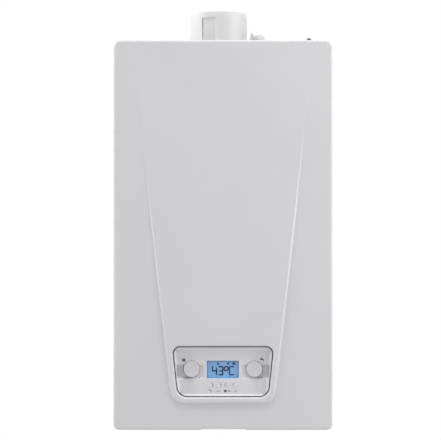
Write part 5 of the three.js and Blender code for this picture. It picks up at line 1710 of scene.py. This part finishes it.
class BOILER_OT_mixing_duct(bpy.types.Operator):
    """Cast duct from the fan to the burner door with bolted flanges"""

    bl_idname = "boiler.mixing_duct"
    bl_label = "Mixing duct"

    def execute(self, context):
        bm = bmesh.new()
        elbow = [(DRUM_X, -214, 376), (DRUM_X, -214, DRUM_Z), (DRUM_X, -185.4, DRUM_Z)]
        tube(bm, elbow, 21, 24, 56, bore=18)
        rod(bm, "y", DRUM, 32, -189.4, -185.4, 0.9, 80, bore=19)
        for x, z, _ in ring_of(DRUM, 27.0, 4, 45.0):
            nut(bm, "y", (x, z), 6.4, -189.2, -192.6)
        block(bm, DRUM_X - 27, DRUM_X + 27, -237, -191, 373.4, 378, 0.9, 7.0)
        for x in (DRUM_X - 22, DRUM_X + 22):
            for y in (-232, -196):
                nut(bm, "z", (x, y), 6.4, 377.8, 381.4)
        for x in (DRUM_X - 21.4, DRUM_X + 21.4):
            block(bm, x - 1, x + 1, -217, -211, 382, 452, 0.4, 0.8, "x")
        stand_in(bm, "premix_manifold", "cast", 36)
        return {"FINISHED"}


def volute_outline(inset, count=72):
    """Spiral of the fan housing drawn in by inset, with its outlet at the upper left."""
    points = []
    for k in range(count + 1):
        turn = 305.0 * k / count
        angle = radians(125 - turn)
        radius = 60 - inset + 22 * turn / 360
        points.append(polar(FAN, radius, angle))
    top = FAN_Z + 84
    left, right = points[-1][0], points[0][0]
    neck = [(left, FAN_Z + 30 + (top - FAN_Z - 30) * k / 5) for k in range(1, 6)]
    back = [(right, top - (top - points[0][1]) * k / 4) for k in range(4)]
    return list(reversed(points + neck + back))


class BOILER_OT_fan(bpy.types.Operator):
    """Fan: cast spiral housing, impeller with curved blades, ribbed motor and the air and gas venturi"""

    bl_idname = "boiler.fan"
    bl_label = "Fan"

    def execute(self, context):
        front, rear = -236.0, -192.0
        bm = bmesh.new()
        outer, inner = volute_outline(0.0), volute_outline(3.5)
        rows = [laid_at(shrunk(outer, inset), y) for inset, y in round_ends(front, rear, 2.6, 4)]
        angles = [atan2(v - FAN_Z, u - FAN_X) for u, v in outer]

        def eyelet(radius, y):
            return laid_at([polar(FAN, radius, a) for a in angles], y)
        rows += [eyelet(7.0, rear), eyelet(7.0, rear - 3.0), laid_at(inner, rear - 3.0), laid_at(inner, front + 3.0),
                 eyelet(30.0, front + 3.0), eyelet(30.0, front)]
        closed_round(bm, rows)
        block(bm, DRUM_X - 27, DRUM_X + 27, front - 1, rear + 1, 368.6, 373, 0.9, 7.0)
        for k in range(7):
            angle = radians(110 - 46 * k)
            radius = 64 + 22 * (46 * k + 15) / 360
            x, z = polar(FAN, radius, angle)
            rod(bm, "y", (x, z), 4.4, front + 1.0, rear - 1.0, 0.7, 24)
            nut(bm, "y", (x, z), 6.2, front + 1.2, front - 2.0)
        stand_in(bm, "fan_housing", "cast", 36)
        bm = bmesh.new()
        hub = [(4.2, rear - 5), (50, rear - 5), (50, rear - 7), (16, rear - 7), (10, rear - 18), (8, rear - 24),
               (4.2, rear - 24)]
        lathe(bm, "y", FAN, fillet(hub, 0.5, 2), 96)
        shroud = [(31, front + 5), (50, front + 8), (50, front + 9.6), (31, front + 6.6)]
        lathe(bm, "y", FAN, fillet(shroud, 0.4, 2), 96)
        for k in range(11):
            face, back = [], []
            for s in range(11):
                radius = 32.5 + 17.1 * s / 10
                share = (radius - 24) / 25.6
                lean = 2 * pi * k / 11 + 0.5 * share ** 1.3
                face.append(polar(FAN, radius, lean))
                back.append(polar(FAN, radius, lean + 1.8 / radius))
            prism(bm, "y", face + back[::-1], front + 8.0, rear - 6, 0.2, 1)
        stand_in(bm, "fan_impeller", "bladed", 36, "fan_impeller")
        bm = bmesh.new()
        shape = [(0, -148), (26, -148), (30, -152), (30, -160), (38, -162), (38, -169), (35, -169), (35, -174),
                 (38, -174), (38, rear + 0.8), (3.8, rear + 0.8), (3.8, rear - 26), (0, rear - 26)]
        lathe(bm, "y", FAN, fillet(shape, 0.9, 3), 80)
        for x, z, angle in ring_of(FAN, 31.5, 24):
            spoke(bm, "y", (x, z, angle), (-2, 4), 0.8, (-161.0, -152.6), 0.3, 1)
        stand_in(bm, "fan_motor", "housing", 36)
        bm = bmesh.new()
        shape = [(34, -236.4), (44, -236.4), (44, -240), (36.4, -240.6), (35, -242)]
        shape += [(31 + 0.04 * (y + 250) ** 2 * (0.75 if y < -250 else 1.0), y)
                  for y in (-245, -247.5, -250, -253, -256, -259)]
        shape += [(38, -263), (42, -268), (42.6, -269.4), (41.8, -270), (39, -270), (36, -266), (31, -260),
                  (28.4, -254), (27.5, -250), (28.2, -245), (29.5, -239)]
        lathe(bm, "y", FAN, fillet(shape, 0.5, 2), 96)
        nipple = [(5.4, 315.6), (8, 315.6), (8, 325.6), (7.2, 327), (5.4, 327)]
        lathe(bm, "z", (FAN_X, -250), fillet(nipple, 0.3, 2), 40)
        for x, z, angle in ring_of(FAN, 36.2, 10, 9.0):
            spoke(bm, "y", (x, z, angle), (-3, 4.5), 0.9, (-246.0, -239.6), 0.3, 1)
        stand_in(bm, "air_gas_venturi", "moulded", 36)
        return {"FINISHED"}


# ---- control box
class BOILER_OT_control_box(bpy.types.Operator):
    """Drop-down control box: moulded tray with ears and ribs, and its vented lid"""

    bl_idname = "boiler.control_box"
    bl_label = "Control box"

    def execute(self, context):
        def tray(inset, corner):
            return fillet(rectangle(inset - 178, 178 - inset, 42 + inset, 184 - inset), corner, 6)
        bm = bmesh.new()
        loft(bm, [laid_at(tray(inset, corner), y) for inset, y, corner in (
            (1.6, -262.0, 4.4), (0.5, -261.5, 5.5), (0, -260.4, 6), (0, -205.6, 6), (0.6, -205, 5.4),
            (1.9, -205, 4.1), (2.5, -205.6, 3.5), (2.5, -259.5, 3.5))])
        for side in (-1, 1):
            rod(bm, "x", (-252.0, 50.0), 5.0, side * 177.5, side * 193.1, 0.6, 36)
            rod(bm, "x", (-252.0, 50.0), 8.5, side * 177.6, side * 182.0, 0.8, 40)
        for x in (-150, -90, -30, 30, 90, 150):
            for z in (43.6, 179.0):
                block(bm, x - 1.1, x + 1.1, -261.0, -207.0, z, z + 3.4, 0.4, 0.5, "y")
        stand_in(bm, "control_box", "tray", 36, "control_panel")
        bm = bmesh.new()
        prism(bm, "y", tray(0, 6), -204.6, -202.4, 0.7)
        for k in range(24):
            x = -149.5 + 13 * k
            for z in (150, 158):
                block(bm, x - 4.2, x + 4.2, -202.8, -202.0, z, z + 3, 0.3, 1.2, "y")
        for x in (-168, 168):
            for z in (52, 174):
                lathe(bm, "y", (x, z), [(0, -202.6), (3.6, -202.6), (3.6, -201.4), (2.6, -200.9), (0, -200.8)], 24)
        piece_from(bm, "control_box_lid", "control_panel", "dark_box", ("control_box_cover",), sharp=36)
        bm = bmesh.new()
        block(bm, -150, 150, -246, -244.4, 56, 172, 0.2, 2.0, "y")
        for side in (-1, 1):
            rod(bm, "y", (side * KNOB_X, CONTROL_Z), 9, -254.6, -245, 0.8, 32)
        for k in range(3):
            block(bm, 84 + 22 * k, 102 + 22 * k, -257, -245, 66, 94, 0.8, 1.5, "y")
        for k in range(8):
            block(bm, -140 + 10 * k, -131 + 10 * k, -257, -245, 60, 74, 0.6, 0.8, "y")
        rod(bm, "y", (-116, 150), 9, -258.5, -245, 0.8, 32)
        block(bm, 96, 138, -245, -212, 120, 160, 1.0, 2.0, "y")
        stand_in(bm, "main_board", "populated", 36, "control_panel")
        return {"FINISHED"}


# ---- stage
def aim(made, place, way):
    """Puts a lamp or the camera at a place, looking along a direction."""
    made.location = place
    made.rotation_mode = "QUATERNION"
    made.rotation_quaternion = way.to_track_quat("-Z", "Y")


def lamp(name, place, size, power, target):
    """A soft white lamp that faces a point."""
    data = bpy.data.lights.new(name, "AREA")
    data.shape = "RECTANGLE"
    data.size, data.size_y = size
    data.energy = power
    aim(placed(name, data), place, target - Vector(place))


def looked_at(tree):
    """A node that is 1 for what the camera, gloss and glass look at, and 0 for light on the boiler."""
    path = add_node(tree, "ShaderNodeLightPath")
    seen = add_node(tree, "ShaderNodeMath", {"operation": "MAXIMUM"},
                    {0: (path, "Is Camera Ray"), 1: (path, "Is Transmission Ray")})
    return add_node(tree, "ShaderNodeMath", {"operation": "MAXIMUM"}, {0: (seen, 0), 1: (path, "Is Glossy Ray")})


def white_world():
    """White all round for the camera, glass and gloss, and a plain level of light for the rest."""
    world = bpy.data.worlds.new("studio")
    bpy.context.scene.world = world
    world.use_nodes = True
    tree = world.node_tree
    tree.nodes.clear()
    ambient = add_node(tree, "ShaderNodeBackground", {"Color": linear("FFFFFF"), "Strength": WORLD_LEVEL})
    white = add_node(tree, "ShaderNodeBackground", {"Color": linear("FFFFFF"), "Strength": 1.0})
    mix = add_node(tree, "ShaderNodeMixShader", None,
                   {0: (looked_at(tree), 0), 1: (ambient, "Background"), 2: (white, "Background")})
    add_node(tree, "ShaderNodeOutputWorld", None, {"Surface": (mix, "Shader")})


def stage_floor(settings):
    """Rolled matt emulsion, pale, with a stipple 4.5 mm wide; it fades to white for the camera away from the boiler."""
    colour = (*settings.floor, 1.0)
    material, tree, shader = new_material("rolled_matt_emulsion", colour, 0.9, {})
    place = add_node(tree, "ShaderNodeTexCoord")
    grit = add_node(tree, "ShaderNodeTexNoise", {"Scale": across(4.5), "Detail": 2.0}, {"Vector": (place, "Object")})
    bump = add_node(tree, "ShaderNodeBump", {"Strength": 0.1, "Distance": 0.0003}, {"Height": (grit, "Fac")})
    tree.links.new(bump.outputs["Normal"], shader.inputs["Normal"])
    split = add_node(tree, "ShaderNodeVectorMath", {"operation": "LENGTH"}, {0: (place, "Object")})
    away = add_node(tree, "ShaderNodeMapRange", {"From Min": 0.9, "From Max": 2.6, "interpolation_type": "SMOOTHSTEP"},
                    {"Value": (split, "Value")})
    fade = add_node(tree, "ShaderNodeMath", {"operation": "MULTIPLY"}, {0: (away, "Result"), 1: (looked_at(tree), 0)})
    glow = add_node(tree, "ShaderNodeEmission", {"Color": linear("FFFFFF"), "Strength": 1.0})
    mix = add_node(tree, "ShaderNodeMixShader", None, {0: (fade, 0), 1: (shader, "BSDF"), 2: (glow, "Emission")})
    tree.links.new(mix.outputs["Shader"], tree.nodes["Material Output"].inputs["Surface"])
    bm = bmesh.new()
    bmesh.ops.create_grid(bm, x_segments=12, y_segments=12, size=FLOOR_HALF)
    floor = solid(bm, "stage_floor", material)
    floor.location = (0.0, -0.14, BASE_Z - settings.floor_drop)


WORLD_LEVEL = 0.46
FLOOR_HALF = 4.5
CAMERA_PLACE = (-4.5, -3785.0, 377.0)   # casing millimetres
LENS = 159.5
SENSOR = 36.0


class BOILER_OT_stage(bpy.types.Operator):
    """Pale floor, soft lamps at both sides and above, and the camera straight in front"""

    bl_idname = "boiler.stage"
    bl_label = "Stage"

    def execute(self, context):
        scene = context.scene
        settings = scene.boiler_stage
        scene.view_settings.view_transform = "Standard"
        white_world()
        stage_floor(settings)
        middle = at(0, -140, 360)
        power = settings.lamp_power
        lamp("lamp_right", (1.5, -0.8, 0.15), (0.8, 1.6), power * 1.9, middle)
        lamp("lamp_left", (-2.3, -0.85, 0.2), (0.9, 1.8), power * 2.8, middle)
        lamp("lamp_above", (0.0, -1.2, 3.2), (1.6, 0.8), power * 7.6, middle)
        lamp("lamp_flue_side", (-0.9, 0.15, 0.45), (0.4, 0.4), power * 0.42, at(FLUE_X, FLUE_Y, 730))
        lamp("lamp_behind", (0.0, 2.0, 0.9), (1.8, 1.2), power * 2.0, middle)
        data = bpy.data.cameras.new("camera")
        data.lens, data.sensor_width = LENS, SENSOR
        data.clip_start, data.clip_end = 0.1, 100.0
        scene.camera = placed("camera", data)
        aim(scene.camera, at(*CAMERA_PLACE), Vector((0, 1, 0)))
        return {"FINISHED"}


# ---- panel, registering and the run
class BOILER_PT_parts(bpy.types.Panel):
    """Lists the boiler's pieces and the sizes and colours that shape them"""

    bl_idname = "BOILER_PT_parts"
    bl_label = "Combi boiler"
    bl_space_type = "VIEW_3D"
    bl_region_type = "UI"
    bl_category = "Boiler"

    def draw(self, context):
        layout = self.layout
        for name in SETTINGS:
            box = layout.box()
            group = getattr(context.scene, name)
            for item in group.bl_rna.properties:
                if item.identifier not in ("rna_type", "name"):
                    box.prop(group, item.identifier)
        column = layout.column(align=True)
        for operator in OPERATORS:
            column.operator(operator.bl_idname)


SETTINGS = {CASING: CasingSettings, FLUE: FlueSettings, CONTROLS: ControlSettings, "boiler_stage": StageSettings}
OPERATORS = [
    BOILER_OT_front_cover, BOILER_OT_cover_screws, BOILER_OT_sheet_metal, BOILER_OT_fascia, BOILER_OT_display,
    BOILER_OT_knobs, BOILER_OT_buttons, BOILER_OT_symbols, BOILER_OT_flue_turret, BOILER_OT_flue_pipe,
    BOILER_OT_caps, BOILER_OT_tails, BOILER_OT_hand_knobs, BOILER_OT_manifolds, BOILER_OT_diverter,
    BOILER_OT_plate_exchanger, BOILER_OT_pump, BOILER_OT_fittings, BOILER_OT_pipes, BOILER_OT_gas_valve,
    BOILER_OT_vessel, BOILER_OT_exchanger, BOILER_OT_burner, BOILER_OT_mixing_duct, BOILER_OT_fan,
    BOILER_OT_control_box, BOILER_OT_stage,
]


def register():
    for group in SETTINGS.values():
        bpy.utils.register_class(group)
    for made in (*OPERATORS, BOILER_PT_parts):
        bpy.utils.register_class(made)
    for name, group in SETTINGS.items():
        setattr(bpy.types.Scene, name, bpy.props.PointerProperty(type=group))


def unregister():
    for name in SETTINGS:
        delattr(bpy.types.Scene, name)
    for made in (BOILER_PT_parts, *reversed(OPERATORS), *SETTINGS.values()):
        bpy.utils.unregister_class(made)


def main():
    register()
    for operator in OPERATORS:
        group, name = operator.bl_idname.split(".")
        if getattr(getattr(bpy.ops, group), name)() != {"FINISHED"}:
            raise RuntimeError(f"{operator.bl_label} did not finish")


if __name__ == "__main__":
    main()
